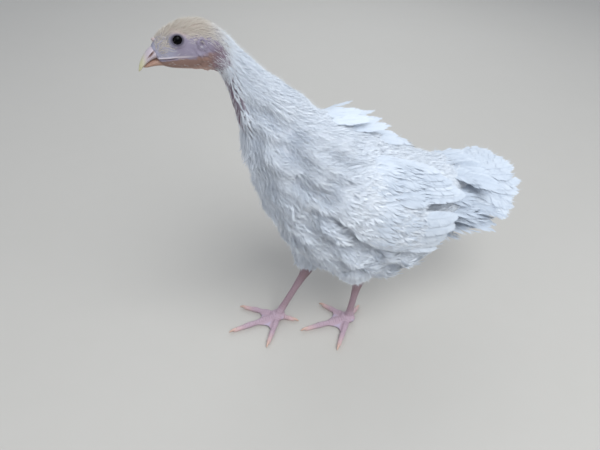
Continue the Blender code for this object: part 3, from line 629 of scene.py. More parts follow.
# How far the plumage starts later on the cheek than on the nape.
CHEEK_BARE = 8.0
CROWN_DEPTH = 2.3
COAT_AT = (HEAD_END - 14, HEAD_END + 12, NECK_END, NECK_END + 70, BODY_LENGTH)
COAT_THICKNESS = (0, 4.5, 7.5, 11.0, 7.0)


def front_zone(u, a, half):
    """1 within this half angle of the neck's front, from the throat down to the breast."""
    near = 1.0 - ramp(np.pi - np.abs(a), half * 0.75, half * 1.15)
    return near * ramp(u, HEAD_END - 14, HEAD_END - 5) * (1.0 - ramp(u, NECK_END - 30, NECK_END))


def throat_strip(u, a):
    """1 on the bare strip down the front of the neck."""
    return front_zone(u, a, np.interp(u, STRIP_AT, STRIP_HALF))


def thin_zone(u, a):
    """1 where the front of the neck has only pin feathers."""
    return front_zone(u, a, np.interp(u, PINS_AT, PINS_HALF))


def behind_cheek(u, a):
    """The distance u as the plumage counts it, so that it starts later on the cheek."""
    return u - CHEEK_BARE * hill(np.abs(a), 1.8, 0.9) * (1 - ramp(u, HEAD_END + 10, HEAD_END + 40))


def coat_depth(u, a):
    """How far the skin lies under the coat's outside."""
    crown = CROWN_DEPTH * (1.0 - ramp(np.abs(a), 0.75, 1.25)) * ramp(u, 3.0, 14.0)
    plumed = np.interp(u, COAT_AT, COAT_THICKNESS)
    bare = np.maximum(throat_strip(u, a), 0.75 * thin_zone(u, a))
    return np.maximum(crown * (1 - ramp(u, HEAD_END - 14, HEAD_END)), plumed * (1 - 0.85 * bare))


def skin_rows():
    """Distances of the skin's rings, close together on the head."""
    rows = [0.0]
    while rows[-1] < BODY_LENGTH - COARSE_STEP:
        wider = (COARSE_STEP - FINE_STEP) * float(ramp(rows[-1], FINE_UNTIL, COARSE_FROM))
        rows.append(rows[-1] + FINE_STEP + wider)
    return np.array(rows)


def skin_angles():
    """Angles round the body, closer together at the height of the eyes and the mouth."""
    fine = np.linspace(-math.pi, math.pi, 4001)
    density = 1.0 + 1.6 * hill(np.abs(fine), 1.15, 0.42) + 0.7 * hill(np.abs(fine), 2.2, 0.4)
    run = np.cumsum(density)
    return np.interp(np.linspace(run[0], run[-1], SKIN_SIDES, endpoint=False), run, fine)


rows, angles = skin_rows(), skin_angles()
print(len(rows), "rings of", len(angles), "points")

# %% [markdown]
# The face is shaped by moving the smooth surface in and out. An eyelid is a raised rim
# round an opening, with folds outside it that fade away. It is one formula of the distance
# from the eye's middle, and the points next to the opening are drawn onto its edge, so
# that the rim comes out crisp.

# %% Eyelids
EYE_CENTRE, EYE_LOOK = (-196.0, 8.5, 379.4), (-0.12, 0.95, 0.29)
EYE_RADIUS = 5.2
EYE_REACH = 13.0  # how far from the eye's middle its lids and folds shape the skin
LID_OPENING, LID_SQUASH, LID_SNAP = 3.75, 0.90, 0.24
LID_AT = (0.0, 3.2, 3.75, 4.05, 4.5, 5.0, 5.7)
LID_HEIGHTS = (1.4, 2.2, 3.8, 4.5, 4.55, 4.2, 4.15)
FOLD_HEIGHT, FOLD_FIRST, FOLD_PITCH = 0.26, 5.75, 1.15


def eye_directions(side):
    """The way the eye looks, and the directions across and up over its face."""
    look = unit(np.array((EYE_LOOK[0], EYE_LOOK[1] * side, EYE_LOOK[2])))
    up = unit(np.array((0.0, 0.0, 1.0)) - look * look[2])
    return look, np.cross(look, up), up


def shape_eye(points, marks, side):
    """Moves the skin near one eye to its lids and folds, and marks them."""
    look, across, up = eye_directions(side)
    offset = points - np.array(EYE_CENTRE) * (1.0, side, 1.0)
    depth, x, z = offset @ look, offset @ across, offset @ up
    near = (depth > -2.0) & (np.hypot(x, z) < EYE_REACH)
    rho = np.hypot(x, z / LID_SQUASH)
    snapped = np.where(np.abs(rho - LID_OPENING) < LID_SNAP, LID_OPENING, rho)
    pull = np.where(near, snapped / np.maximum(rho, 0.1), 1.0) - 1.0
    points = points + (across * x[:, None] + up * z[:, None]) * pull[:, None]
    lid = np.interp(snapped, LID_AT, LID_HEIGHTS)
    below = 0.55 + 0.45 * np.sign(-z) * np.clip(np.abs(z) / np.maximum(rho, 1.0), 0, 1)
    folds = FOLD_HEIGHT * np.cos((snapped - FOLD_FIRST) * 2 * math.pi / FOLD_PITCH)
    folds = folds * ramp(snapped, 4.7, 5.6) * (1 - ramp(snapped, 7.6, 9.4))
    weight = (1.0 - ramp(snapped, 4.8, 8.4)) * near
    moved = (lid - depth) * weight + folds * below * near
    marks["lid"] = np.maximum(marks["lid"], near * (1.0 - ramp(rho, 4.3, 6.6)))
    # Painted shade in the troughs of the folds, stronger below the eye than above.
    paint_fold_shade(marks, near * below * ramp(-folds, 0.02, 0.24) * 0.8)
    return points + look * moved[:, None]


def paint_fold_shade(marks, amount):
    """Paints shade into a fold, crease or hole through the fold mark, at least this strongly."""
    marks["fold"] = np.maximum(marks["fold"], amount)


print("an eye looks along", eye_directions(SIDES["left"])[0].round(2))

# %% [markdown]
# The ear is a small hooded hole, the mouth a crease that runs back from the bill to its
# corner, and the nostril a slit under a flap. The skin behind the eye has lumps and
# slanting creases, which smooth noise gives. Each form returns how far it moves the skin
# outward, so that they add up in any order. The holes and creases also get painted shade.

# %% Nostril, ear, mouth and wrinkles
NOSTRIL, NOSTRIL_SLOPE, NOSTRIL_HALF = (-216.9, 367.6), math.radians(46), (4.4, 0.75)
EAR_CENTRE, EAR_SIZE = (-177.0, 376.5), (2.5, 3.2)
EAR_RIM, EAR_HOLE, EAR_MOAT = 0.9, 1.5, 0.3
MOUTH_FRONT, MOUTH_CORNER = (-212.0, 363.4), (-198.5, 365.2)
CREASE_PITCH, CREASE_DEPTH = 8.6, 0.42
BROW_HEIGHT, CHEEK_HEIGHT = 0.9, 0.7


def nostril(points):
    """The nostril's slit and the flap over it, each from 0 to 1."""
    x, z = points[:, 0] - NOSTRIL[0], points[:, 2] - NOSTRIL[1]
    along = x * math.cos(NOSTRIL_SLOPE) + z * math.sin(NOSTRIL_SLOPE)
    across = z * math.cos(NOSTRIL_SLOPE) - x * math.sin(NOSTRIL_SLOPE)
    flank = ramp(np.abs(points[:, 1]), 1.6, 3.4) * hill(along / NOSTRIL_HALF[0], 0.0, 0.85)
    return flank * hill(across / NOSTRIL_HALF[1], 0.0, 0.95), flank * hill(across, 1.6, 0.9)


def ear_relief(x, z, flank, marks):
    """A hole with a rim that is highest at its front and top, and a moat round it."""
    ear = np.hypot((x - EAR_CENTRE[0]) / EAR_SIZE[0], (z - EAR_CENTRE[1]) / EAR_SIZE[1])
    toward = (EAR_CENTRE[0] - x + 0.6 * (z - EAR_CENTRE[1])) / 3.0
    hood = 0.55 + 0.45 * np.clip(toward, -1.0, 1.0)
    # Painted shade in the ear's hole and its moat.
    paint_fold_shade(marks, flank * np.maximum(0.8 * hill(ear, 0.0, 0.6), 0.3 * hill(ear, 1.95, 0.3)))
    rim, hole, moat = hill(ear, 1.25, 0.42), hill(ear, 0.0, 0.62), hill(ear, 1.95, 0.35)
    return flank * (EAR_RIM * hood * rim - EAR_HOLE * hole - EAR_MOAT * moat)


def mouth_relief(x, z, flank, marks):
    """A crease between two low lips, which ends a little behind the mouth's corner."""
    run = np.array(MOUTH_CORNER) - np.array(MOUTH_FRONT)
    share = ((x - MOUTH_FRONT[0]) * run[0] + (z - MOUTH_FRONT[1]) * run[1]) / (run @ run)
    line = MOUTH_FRONT[1] + np.clip(share, -0.4, 1.0) * run[1]
    height = z - line - 0.5 * np.maximum(share - 1, 0)
    open_here = flank * (1.0 - ramp(share, 0.75, 1.25))
    marks["lip"] = flank * hill(height, 1.3, 0.75) * (1.0 - ramp(share, 1.3, 2.4))
    # Painted shade along the mouth's crease.
    paint_fold_shade(marks, open_here * hill(height, 0.0, 0.55))
    upper, lower = 0.6 * hill(height, 1.2, 0.7), 0.4 * hill(height, -1.2, 0.8)
    return open_here * (upper + lower - hill(height, 0.0, 0.42))


def wrinkle_relief(points, marks):
    x, z = points[:, 0], points[:, 2]
    lumps = waves(points, 5.5, 3) * 0.35 + np.maximum(waves(points, 2.6, 4), 0) * 0.3
    behind_eye = ramp(x, -190.0, -176.0) * marks["bare"]
    slant = (x * 0.62 + z * 0.78) * 2 * math.pi / CREASE_PITCH + 1.1 * waves(points, 13.0, 5)
    crease = 1 - ramp(np.abs(np.sin(slant)), 0.0, 0.3)
    crease = crease * ramp(z, 358.0, 364.0) * (1 - ramp(z, 377.0, 381.0))
    # Painted shade in the slanting creases behind the eye.
    paint_fold_shade(marks, behind_eye * crease * 0.55)
    return behind_eye * (lumps - CREASE_DEPTH * crease)


def shape_face(points, outs, marks, u):
    """Ear, mouth, brow, cheek and the small lumps and folds of the bare skin."""
    x, z = points[:, 0], points[:, 2]
    flank = ramp(np.abs(outs[:, 1]), 0.35, 0.75) * (u < HEAD_END + 6)
    move = ear_relief(x, z, flank, marks) + mouth_relief(x, z, flank, marks)
    brow = hill(x, -196.5, 8.0) * hill(z, 387.0, 2.6) * ramp(np.abs(outs[:, 1]), 0.2, 0.6)
    cheek = flank * hill(x, -183.0, 8.0) * hill(z, 366.5, 4.5)
    move += BROW_HEIGHT * brow + CHEEK_HEIGHT * cheek
    move += wrinkle_relief(points, marks)
    slit, flap = nostril(points)
    move += 0.6 * flap - 1.1 * slit
    # Painted shade in the nostril's slit.
    paint_fold_shade(marks, slit)
    return points + outs * move[:, None]


print("the mouth's corner is", MOUTH_CORNER[0] - MOUTH_FRONT[0], "mm behind its front")

# %% [markdown]
# The tones of the face are marks too: numbers from 0 to 1 at each point, which the skin's
# material reads. They come from places on the head, and noise keeps their edges uneven.
# The body's rings are then closed, with a low dome under the bill and one at the tail.

# %% Body skin
DOME_HEIGHT, DOME_TURNS = 1.6, (0.5, 1.0, 1.35, 1.53)


def face_marks(points, u, a):
    """Where the skin is bare, and where each tone of the face lies."""
    x, z, zero = points[:, 0], points[:, 2], np.zeros(len(u))
    strip = np.maximum(throat_strip(u, a), 0.9 * thin_zone(u, a))
    plumed = ramp(behind_cheek(u, a), HEAD_END - 2, HEAD_END + 12) * (1 - strip)
    plumed = np.clip(plumed, 0, 1)
    mouth_line = MOUTH_CORNER[1] + 0.2 * (x - MOUTH_CORNER[0])
    above_mouth = z + 1.8 * ramp(x, -196.0, -186.0) - mouth_line + 0.8 * waves(points, 6.0, 6)
    head = 1 - ramp(u, HEAD_END - 18, HEAD_END + 2)
    under_jaw = 0.75 * ramp(u, HEAD_END - 23, HEAD_END - 8) * (1 - ramp(z, 368.0, 382.0))
    return {
        "bare": 1 - plumed,
        "plumed": plumed,
        "lid": zero,
        "fold": zero,
        "lip": zero,
        "front": head * (1 - ramp(x, -203.0, -194.0)) * ramp(above_mouth, 0.0, 2.0),
        "crown": head * ramp(z, 380.0, 386.5) * (1 - ramp(np.abs(a), 0.95, 1.35)),
        "jaw": head * (1 - ramp(above_mouth, -2.6, 0.8)),
        "chin": head * (1 - ramp(z, 351.0, 357.5)),
        "throat": (1 - plumed) * np.maximum(throat_strip(u, a), under_jaw),
    }


def dome(edge, way):
    """Rings that close a surface's open edge with a low dome, forward (-1) or back (1)."""
    middle = edge.mean(axis=0)
    facing = unit(np.cross(edge[len(edge) // 4] - middle, edge[0] - middle))
    facing = facing * np.sign(facing[0]) * way
    return np.array([
        middle + (edge - middle) * math.cos(t) + facing * DOME_HEIGHT * math.sin(t)
        for t in DOME_TURNS
    ])


def body_skin():
    u, a = np.meshgrid(rows, angles, indexing="ij")
    u, a = u.ravel(), a.ravel()
    _, _, outs = directions(body_point, np.maximum(u, 0.6), a)
    points = body_point(u, a) - outs * coat_depth(u, a)[:, None]
    marks = face_marks(points, u, a)
    points = shape_face(points, outs, marks, u)
    for side in SIDES.values():
        points = shape_eye(points, marks, side)
    points = points.reshape(len(rows), SKIN_SIDES, 3)
    front, rear = dome(points[0], -1.0), dome(points[-1], 1.0)
    for key, values in marks.items():
        v = values.reshape(len(rows), SKIN_SIDES)
        spread = np.concatenate([v[:1]] * len(front) + [v] + [v[-1:]] * len(rear))
        marks[key] = np.append(spread, (v[0].mean(), v[-1].mean()))
    return loft(np.concatenate([front[::-1], points, rear]))._replace(marks=marks)


body = body_skin()
print("body skin", len(body.faces), "faces")

# %% [markdown]
# A bird's leg below the hock is bare and plated. The toes, the pad and the webs are made
# as overlapping tubes, then remeshed into one surface and smoothed, which rounds the
# corners between them as skin does. The plates are raised afterwards, by the distance
# along each bone.

# %% The legs' numbers
Leg = namedtuple("Leg", "knee hock pad hem toes")
Toe = namedtuple("Toe", "length heading root_radius tip_radius")
LEGS = {
    "left": Leg((-20.0, 31.0, 120.0), (-3.5, 24.0, 70.0), (-6.8, 19.0, 0.0), 20.5, {
        "inner": Toe(44.4, 124.6, 4.5, 3.2), "middle": Toe(65.4, 180.0, 4.9, 3.3),
        "outer": Toe(55.3, -128.7, 4.6, 3.2), "hind": Toe(29.6, 34.4, 3.9, 3.0),
    }),
    "right": Leg((-47.0, 28.0, 126.0), (-54.0, 17.5, 68.0), (-90.2, 12.4, 0.0), 10.0, {
        "inner": Toe(53.0, -125.5, 4.5, 3.2), "middle": Toe(67.5, -174.8, 4.9, 3.3),
        "outer": Toe(52.7, 142.8, 4.6, 3.2), "hind": Toe(26.7, -35.0, 3.9, 3.0),
    }),
}
THIGH_AT, THIGH_RADII = (-0.36, -0.18, 0.15, 0.6, 1.0), (9.0, 20.0, 25.0, 21.0, 13.5)
SHANK_AT = (-0.3, -0.13, 0.0, 0.16, 0.45, 0.75, 1.0)
SHANK_RADII = (5.6, 6.4, 7.2, 5.3, 4.2, 4.3, 5.2)
SHANK_DEPTH, ANKLE_HEIGHT, LENGTH_IN_THIGH = 1.14, 8.0, 62.0
CLAW_LENGTH, CLAW_RADIUS = 9.0, 2.3
TOE_OVER_CLAW = 3.2
# Along a web's reach, and the height of its skin there: over the top, then back below.
WEB_SECTION = (
    (0.0, 7.0), (0.4, 6.2), (0.75, 5.0), (0.95, 4.0), (1.0, 3.0), (0.92, 2.2), (0.6, 1.0), (0.0, 1.0),
)
WEB_REACH, WEB_ARC, WEB_SAG = 0.56, 0.34, 0.8
SOLE_HEIGHT, SOLE_HALF_WIDTH = 4.9, 9.0
SOLE_SECTION = ((8.0, 0.3), (6.5, 0.7), (3.0, 0.95), (-2.0, 1.0), (-7.0, 0.9), (-10.0, 0.6))
LEG_VOXEL, LEG_SMOOTHING = 0.75, 5
PLATE_STEP, PLATE_HEIGHT = 3.4, 0.34
FORWARD, UP = np.array((-1.0, 0.0, 0.0)), np.array((0.0, 0.0, 1.0))


def placed(point, side):
    return np.array((point[0], SIDES[side] * point[1], point[2]))


def toe_aim(toe):
    return np.array((math.cos(math.radians(toe.heading)), math.sin(math.radians(toe.heading)), 0.0))


print("toes:", sum(len(leg.toes) for leg in LEGS.values()))


# %% Toes, webs and shanks
def toe_shape(pad, toe):
    """A toe lying on the floor, its knuckles a little thicker than the bones between."""
    aim, length = toe_aim(toe), toe.length - CLAW_LENGTH + TOE_OVER_CLAW
    rings = []
    for t in np.linspace(0.0, 1.0, 30):
        radius = toe.root_radius + (toe.tip_radius - toe.root_radius) * t
        knuckle = 1.0 + 0.08 * math.cos(t * 6 * math.pi)
        radius *= 0.93 * knuckle * math.sqrt(1.0 - 0.6 * float(ramp(t, 0.88, 1.0)))
        centre = pad + aim * length * t + UP * radius * 0.88
        rings.append(ring_about(centre, aim, (radius * 0.92, radius * 0.92), UP))
    return loft(rings)


def web_shape(pad, first, second):
    """The fold of skin between two toes, its free edge drawn in as an arc."""
    aim_a, aim_b = toe_aim(first), toe_aim(second)
    reach_a, reach_b = first.length * WEB_REACH, second.length * WEB_REACH
    rings = []
    for s in np.linspace(0.0, 1.0, 13):
        aim = unit(aim_a * (1 - s) + aim_b * s)
        middle = math.sin(s * math.pi)
        reach = (reach_a * (1 - s) + reach_b * s) * (1.0 - WEB_ARC * middle)
        rings.append([
            pad + aim * reach * r + UP * (z - WEB_SAG * middle * r if z > 1 else z)
            for r, z in WEB_SECTION
        ])
    return loft(rings)


def shank_shape(side, leg):
    """The bare bone from inside the thigh over the hock to the ankle."""
    knee, hock, pad = (placed(p, side) for p in (leg.knee, leg.hock, leg.pad))
    ankle = pad + UP * ANKLE_HEIGHT
    rings = []
    for t in np.linspace(-0.3, 1.0, 60):
        below = ramp(t, -0.08, 0.1)
        axis = (ankle - hock) * below + (hock - knee) * (1 - below)
        inside = unit(hock - knee) * t * LENGTH_IN_THIGH
        centre = hock + (ankle - hock) * t if t > 0 else hock + inside
        radius = float(np.interp(t, SHANK_AT, SHANK_RADII))
        rings.append(ring_about(centre, axis, (radius * 0.86, radius * SHANK_DEPTH * 0.9), FORWARD))
    return loft(rings)


def sole_shape(pad):
    return loft([
        ring_about(
            pad + UP * SOLE_HEIGHT + np.array((x, 0, 0)), FORWARD,
            (SOLE_HALF_WIDTH * r, SOLE_HEIGHT * r), UP,
        )
        for x, r in SOLE_SECTION
    ])


left_pad = placed(LEGS["left"].pad, "left")
print("a sole:", len(sole_shape(left_pad).faces), "triangles")

# %% [markdown]
# A remesh modifier turns overlapping tubes into one closed surface of even faces, which
# nothing else does as simply. An object with modifiers is evaluated, its mesh is read back
# as a shape, and the object is removed again.


# %% Remesh
def as_object(name, shape):
    thing = bpy.data.objects.new(name, as_mesh(name, shape))
    bpy.context.scene.collection.objects.link(thing)
    return thing


def evaluated_shape(thing):
    """The points and faces of an object with its modifiers applied; the object goes."""
    graph = bpy.context.evaluated_depsgraph_get()
    mesh = thing.evaluated_get(graph).to_mesh()
    points = np.empty(len(mesh.vertices) * 3)
    mesh.vertices.foreach_get("co", points)
    mesh.calc_loop_triangles()
    faces = np.empty(len(mesh.loop_triangles) * 3, np.int32)
    mesh.loop_triangles.foreach_get("vertices", faces)
    thing.evaluated_get(graph).to_mesh_clear()
    bpy.data.objects.remove(thing)
    points = points.reshape(-1, 3) / MM - np.array((SHIFT_X, 0.0, 0.0))
    return Shape(points, faces.reshape(-1, 3), None, {})


def remeshed(shape):
    thing = as_object("rough", shape)
    remesh = thing.modifiers.new("remesh", "REMESH")
    remesh.mode = "VOXEL"
    remesh.voxel_size = LEG_VOXEL * MM
    soften = thing.modifiers.new("soften", "SMOOTH")
    soften.factor = 0.5
    soften.iterations = LEG_SMOOTHING
    return evaluated_shape(thing)


print("legs are remeshed at", LEG_VOXEL, "mm")

# %% [markdown]
# Each point of a leg belongs to its nearest bone. The distance along that bone says where
# in a plate the point is: plates rise at once at their upper edge and sink slowly, so that
# they overlap like tiles. Toes carry them on top, and the shank in front.


# %% Plates
def leg_bones(side, leg):
    """Start, end, front, radius and whether it is a toe, for each bone below the hock."""
    hock, pad = placed(leg.hock, side), placed(leg.pad, side)
    bones = [(hock, pad + UP * ANKLE_HEIGHT, FORWARD, 5.0, 0.0)]
    for toe in leg.toes.values():
        low = UP * toe.root_radius * 0.8
        tip = pad + low + toe_aim(toe) * (toe.length - CLAW_LENGTH)
        bones.append((pad + low, tip, UP, toe.root_radius, 1.0))
    return bones


def raise_plates(points, side, leg):
    """Moves the front of the shank and the tops of the toes out in overlapping plates."""
    hock, pad = placed(leg.hock, side), placed(leg.pad, side)
    best, along, facing, is_toe = np.full(len(points), 1e9), *np.zeros((3, len(points)))
    outward_way = np.zeros_like(points)
    for start, end, front, radius, toe_flag in leg_bones(side, leg):
        run = end - start
        share = np.clip((points - start) @ run / (run @ run), 0.0, 1.0)
        away = points - (start + share[:, None] * run)
        gap = np.linalg.norm(away, axis=1) / radius
        closer = gap < best
        best = np.where(closer, gap, best)
        along = np.where(closer, share * np.linalg.norm(run), along)
        facing = np.where(closer, unit(away) @ front, facing)
        is_toe = np.where(closer, toe_flag, is_toe)
        outward_way = np.where(closer[:, None], unit(away), outward_way)
    phase = (along / (PLATE_STEP * (1.0 - 0.2 * is_toe))) % 1.0
    plate = ramp(phase, 0.0, 0.22) * (1.0 - 0.25 * phase)
    in_front, close = ramp(facing, 0.15, 0.6), 1.0 - ramp(best, 1.25, 1.7)
    height = PLATE_HEIGHT * (1.0 - 0.25 * is_toe)
    moved = points + outward_way * (height * (plate - 0.6) * in_front * close)[:, None]
    moved[:, 2] = np.maximum(moved[:, 2], 0.15)
    from_hock, from_pad = (np.linalg.norm(points - p, axis=1) for p in (hock, pad))
    from_claws = [
        np.linalg.norm(points - (pad + toe_aim(toe) * (toe.length - CLAW_LENGTH)), axis=1)
        for toe in leg.toes.values()
    ]
    return moved, {
        "groove": in_front * close * (1.0 - ramp(phase, 0.0, 0.3)),
        "web": is_toe * ramp(best, 1.1, 1.6),
        "shank": ramp(points[:, 2], 8.0, 24.0) * ramp(from_pad, 9.0, 24.0),
        "hock": hill(from_hock, 0.0, 16.0) * (0.55 + 0.45 * np.clip(-facing, 0, 1)),
        "tip": hill(np.min(from_claws, axis=0), 0.0, 9.0),
    }


def leg_skin(side, leg):
    pad, toes = placed(leg.pad, side), leg.toes
    parts = [shank_shape(side, leg), sole_shape(pad), *[toe_shape(pad, toe) for toe in toes.values()]]
    parts.append(web_shape(pad, toes["inner"], toes["middle"]))
    parts.append(web_shape(pad, toes["middle"], toes["outer"]))
    rough = remeshed(joined(parts))
    points, marks = raise_plates(rough.points, side, leg)
    return Shape(points, rough.faces, None, marks)


legs = {side: leg_skin(side, leg) for side, leg in LEGS.items()}
print("leg skins", [len(s.faces) for s in legs.values()], "triangles")

# %% [markdown]
# The wing's arm and the thigh are the fleshy forms under the longer feathers, and the
# snood is a small bud over the bill. The folded wing lies on a bulging sheet beside the
# body, so its arm is a flat tube along that sheet. The thigh is a tube round its bone.

# %% The wing's sheet, and the last fleshy forms
SHEET_X = (-80.0, -40.0, 0.0, 40.0, 80.0, 120.0)
SHEET_CENTRE_Z = (214.0, 196.0, 182.0, 170.0, 162.0, 158.0)
SHEET_HALF_WIDTH = (60.0, 68.0, 72.5, 72.0, 67.0, 57.0)
SHEET_HALF_HEIGHT = (66.0, 78.0, 80.0, 72.0, 58.0, 46.0)
# x, middle angle, half angle, half thickness, height of the outer face over the sheet.
WING_CORE = np.array([
    (-70.0, 18.0, 5.0, 3.0, -5.0), (-60.0, 18.0, 18.0, 7.0, -2.5), (-42.0, 19.0, 29.0, 10.5, 0.0),
    (-18.0, 18.0, 35.0, 12.0, 0.5), (8.0, 17.0, 34.0, 11.0, 0.0), (28.0, 18.0, 28.0, 7.0, -1.0),
    (40.0, 19.0, 17.0, 2.5, -2.0),
])
WING_COAT = 4.0
SNOOD_ROOT, SNOOD_TIP, SNOOD_RADIUS = np.array((-209.0, 0.0, 375.0)), np.array((-215.0, 0.0, 379.0)), 1.9
SNOOD_SECTION = ((-0.3, 1.0), (0.2, 1.0), (0.5, 0.94), (0.75, 0.8), (0.9, 0.6), (0.98, 0.35), (1.0, 0.1))


def wing_point(side, x, angle, rise=0.0):
    """A point on the sheet that the folded wing lies on, at an angle above its widest line."""
    x, angle = np.broadcast_arrays(np.asarray(x, float), np.asarray(angle, float))
    width = np.interp(x, SHEET_X, SHEET_HALF_WIDTH) + rise
    height = np.interp(x, SHEET_X, SHEET_HALF_HEIGHT) + rise
    z = np.interp(x, SHEET_X, SHEET_CENTRE_Z) + height * np.sin(angle)
    return np.stack([x, SIDES[side] * width * np.cos(angle), z], axis=-1)


def wing_arm(side):
    rings = []
    turn = 2 * math.pi * np.arange(28) / 28
    for x, middle, half_angle, thickness, lifted in smooth_through(WING_CORE, 3):
        angle = np.radians(middle + max(half_angle - 3.0, 1.5) * np.sin(turn))
        rise = lifted - WING_COAT + max(thickness, 2.0) * (np.cos(turn) - 1.0)
        rings.append(wing_point(side, np.full(28, x), angle, rise))
    return loft(rings)


def thigh_frame(side, leg):
    """The thigh's start, its axis, how long it is, and the way its front faces."""
    knee, hock = placed(leg.knee, side), placed(leg.hock, side)
    axis = unit(hock - knee)
    length = np.linalg.norm(hock - knee) - leg.hem
    return knee, axis, length, np.cross(unit(np.cross(axis, FORWARD)), axis)


def thigh_point(side, u, a, rise=0.0):
    """The thigh's outside at a distance u below the knee and an angle a round it."""
    knee, axis, length, front = thigh_frame(side, LEGS[side])
    u, a = np.broadcast_arrays(np.asarray(u, float), np.asarray(a, float))
    radius = np.interp(u / length, THIGH_AT, THIGH_RADII) + rise
    out = front * np.cos(a)[..., None] + np.cross(axis, front) * np.sin(a)[..., None]
    return knee + axis * u[..., None] + out * radius[..., None]


def thigh_flesh(side, leg):
    length = thigh_frame(side, leg)[2]
    turn = 2 * math.pi * np.arange(32) / 32
    rings = []
    for t in np.linspace(-0.16, 1.05, 18):
        rings.append(thigh_point(side, length * t, turn, -7.0 if t < 0.8 else -6.0))
    return loft(rings)


def snood_flesh():
    """The snood's bud, marked as bare skin in the crown's tone."""
    run = SNOOD_TIP - SNOOD_ROOT
    shape = loft([
        ring_about(SNOOD_ROOT + run * t, run, (SNOOD_RADIUS * r,) * 2, UP, 20) for t, r in SNOOD_SECTION
    ])
    one = np.ones(len(shape.points))
    return shape._replace(marks={"bare": one, "crown": one * 0.7, "plumed": one * 0.0})


print("wing arm spans", WING_CORE[0, 0], "to", WING_CORE[-1, 0], "mm")

# %% [markdown]
# One Boolean union joins all flesh to the body, so that the skin is a single closed
# surface without seams. The union forgets the marks, and each point takes them back from
# the nearest point of what went in.

# %% Join the skin
def united(first, others):
    """The union of closed shapes, as one object's mesh."""
    thing = as_object("skin", first)
    group = bpy.data.collections.new("flesh")
    bpy.context.scene.collection.children.link(group)
    for number, shape in enumerate(others):
        other = bpy.data.objects.new(f"flesh_{number}", as_mesh("flesh", shape))
        group.objects.link(other)
    join = thing.modifiers.new("join", "BOOLEAN")
    join.operation, join.operand_type, join.solver = "UNION", "COLLECTION", "MANIFOLD"
    join.collection = group
    made = evaluated_shape(thing)
    for other in list(group.objects):
        bpy.data.objects.remove(other)
    bpy.data.collections.remove(group)
    return made


def outward(shape):
    """The same shape with its faces turned outward."""
    corners = shape.points[shape.faces[:, :3]]
    volume = np.einsum("ij,ij->i", corners[:, 0], np.cross(corners[:, 1], corners[:, 2])).sum()
    return shape if volume > 0 else shape._replace(faces=shape.faces[:, ::-1])


def marks_from(points, sources, names):
    """Each point's marks, from the nearest point of the source shapes."""
    where = KDTree(sum(len(s.points) for s in sources))
    values = {name: [] for name in names}
    index = 0
    for shape in sources:
        for p in shape.points:
            where.insert(p, index)
            index += 1
        for name in names:
            values[name].append(shape.marks.get(name, np.full(len(shape.points), float(name == "plumed"))))
    where.balance()
    nearest = np.array([where.find(p)[1] for p in points])
    return {name: np.concatenate(values[name])[nearest] for name in names}


SKIN_MARKS = ("bare", "plumed", "lid", "fold", "lip", "front", "crown", "jaw", "chin", "throat")
LEG_MARKS = ("groove", "web", "hock", "shank", "tip")
flesh = [wing_arm(s) for s in SIDES] + [thigh_flesh(s, leg) for s, leg in LEGS.items()]
for shape in legs.values():
    shape.marks.update(plumed=np.zeros(len(shape.points)), leg=np.ones(len(shape.points)))
sources = [body, snood_flesh(), *flesh, *legs.values()]
whole = united(outward(body), [outward(s) for s in sources[1:]])
whole = whole._replace(marks=marks_from(whole.points, sources, (*SKIN_MARKS, *LEG_MARKS, "leg")))
skin = make_piece(
    "skin", whole, SKIN, "face_skin", "head", "neck", "torso",
    "thigh_left", "thigh_right", "shank_left", "shank_right", "foot_left", "foot_right",
)
skin.data.materials.append(LEG)
on_leg = whole.marks["leg"][whole.faces].mean(axis=1) > 0.5
skin.data.polygons.foreach_set("material_index", on_leg.astype(np.int32))

# %% [markdown]
# Bill and claws are horn: hard, slightly glossy, and paler at the tip. The bill is two
# lofts that close on each other along the cutting edge. The nostril is a slit under a
# small flap, made by pressing the loft in along a slope and raising it just above.

# %% Bill
UPPER_BILL = [
    (-213.6, 373.6, -208.9, 363.9, 6.9), (-215.3, 372.7, -210.6, 363.4, 6.6),
    (-219.6, 369.2, -214.6, 362.6, 5.9), (-223.6, 364.2, -218.7, 360.4, 4.8),
    (-226.3, 358.8, -222.5, 357.2, 3.4), (-227.4, 354.6, -225.6, 353.8, 1.7),
    (-227.6, 352.6, -227.0, 352.3, 0.5),
]
LOWER_BILL = [
    (-208.9, 363.8, -204.7, 355.7, 6.1), (-210.9, 363.4, -206.6, 355.9, 5.8),
    (-215.2, 362.7, -211.4, 356.3, 5.1), (-219.3, 360.5, -216.3, 356.0, 3.9),
    (-222.4, 358.0, -220.2, 355.4, 2.5), (-224.0, 356.6, -223.4, 355.5, 0.8),
]
BILL_ROUNDNESS, BILL_SIDES = 1.8, 72
FLAP_HEIGHT, SLIT_DEPTH = 0.75, 1.5


def bill_half(stations):
    """A tube through stations, each with its upper and lower point and its half width."""
    angle = 2 * math.pi * np.arange(BILL_SIDES) / BILL_SIDES
    c, s = power(np.cos(angle), 2 / BILL_ROUNDNESS), power(np.sin(angle), 2 / BILL_ROUNDNESS)
    rings = []
    for back_x, back_z, low_x, low_z, half_width in smooth_through(stations, 12):
        back, low = np.array((back_x, 0.0, back_z)), np.array((low_x, 0.0, low_z))
        ring = (back + low) / 2 + (back - low) / 2 * c[:, None]
        ring[:, 1] -= half_width * s
        rings.append(ring)
    return loft(rings)


def cutting_edge(points, stations):
    """1 along the lower edge of a half, fading upward."""
    edge = np.array(sorted(row[2:4] for row in stations))
    return 1.0 - ramp(points[:, 2] - np.interp(points[:, 0], edge[:, 0], edge[:, 1]), 0.8, 2.2)


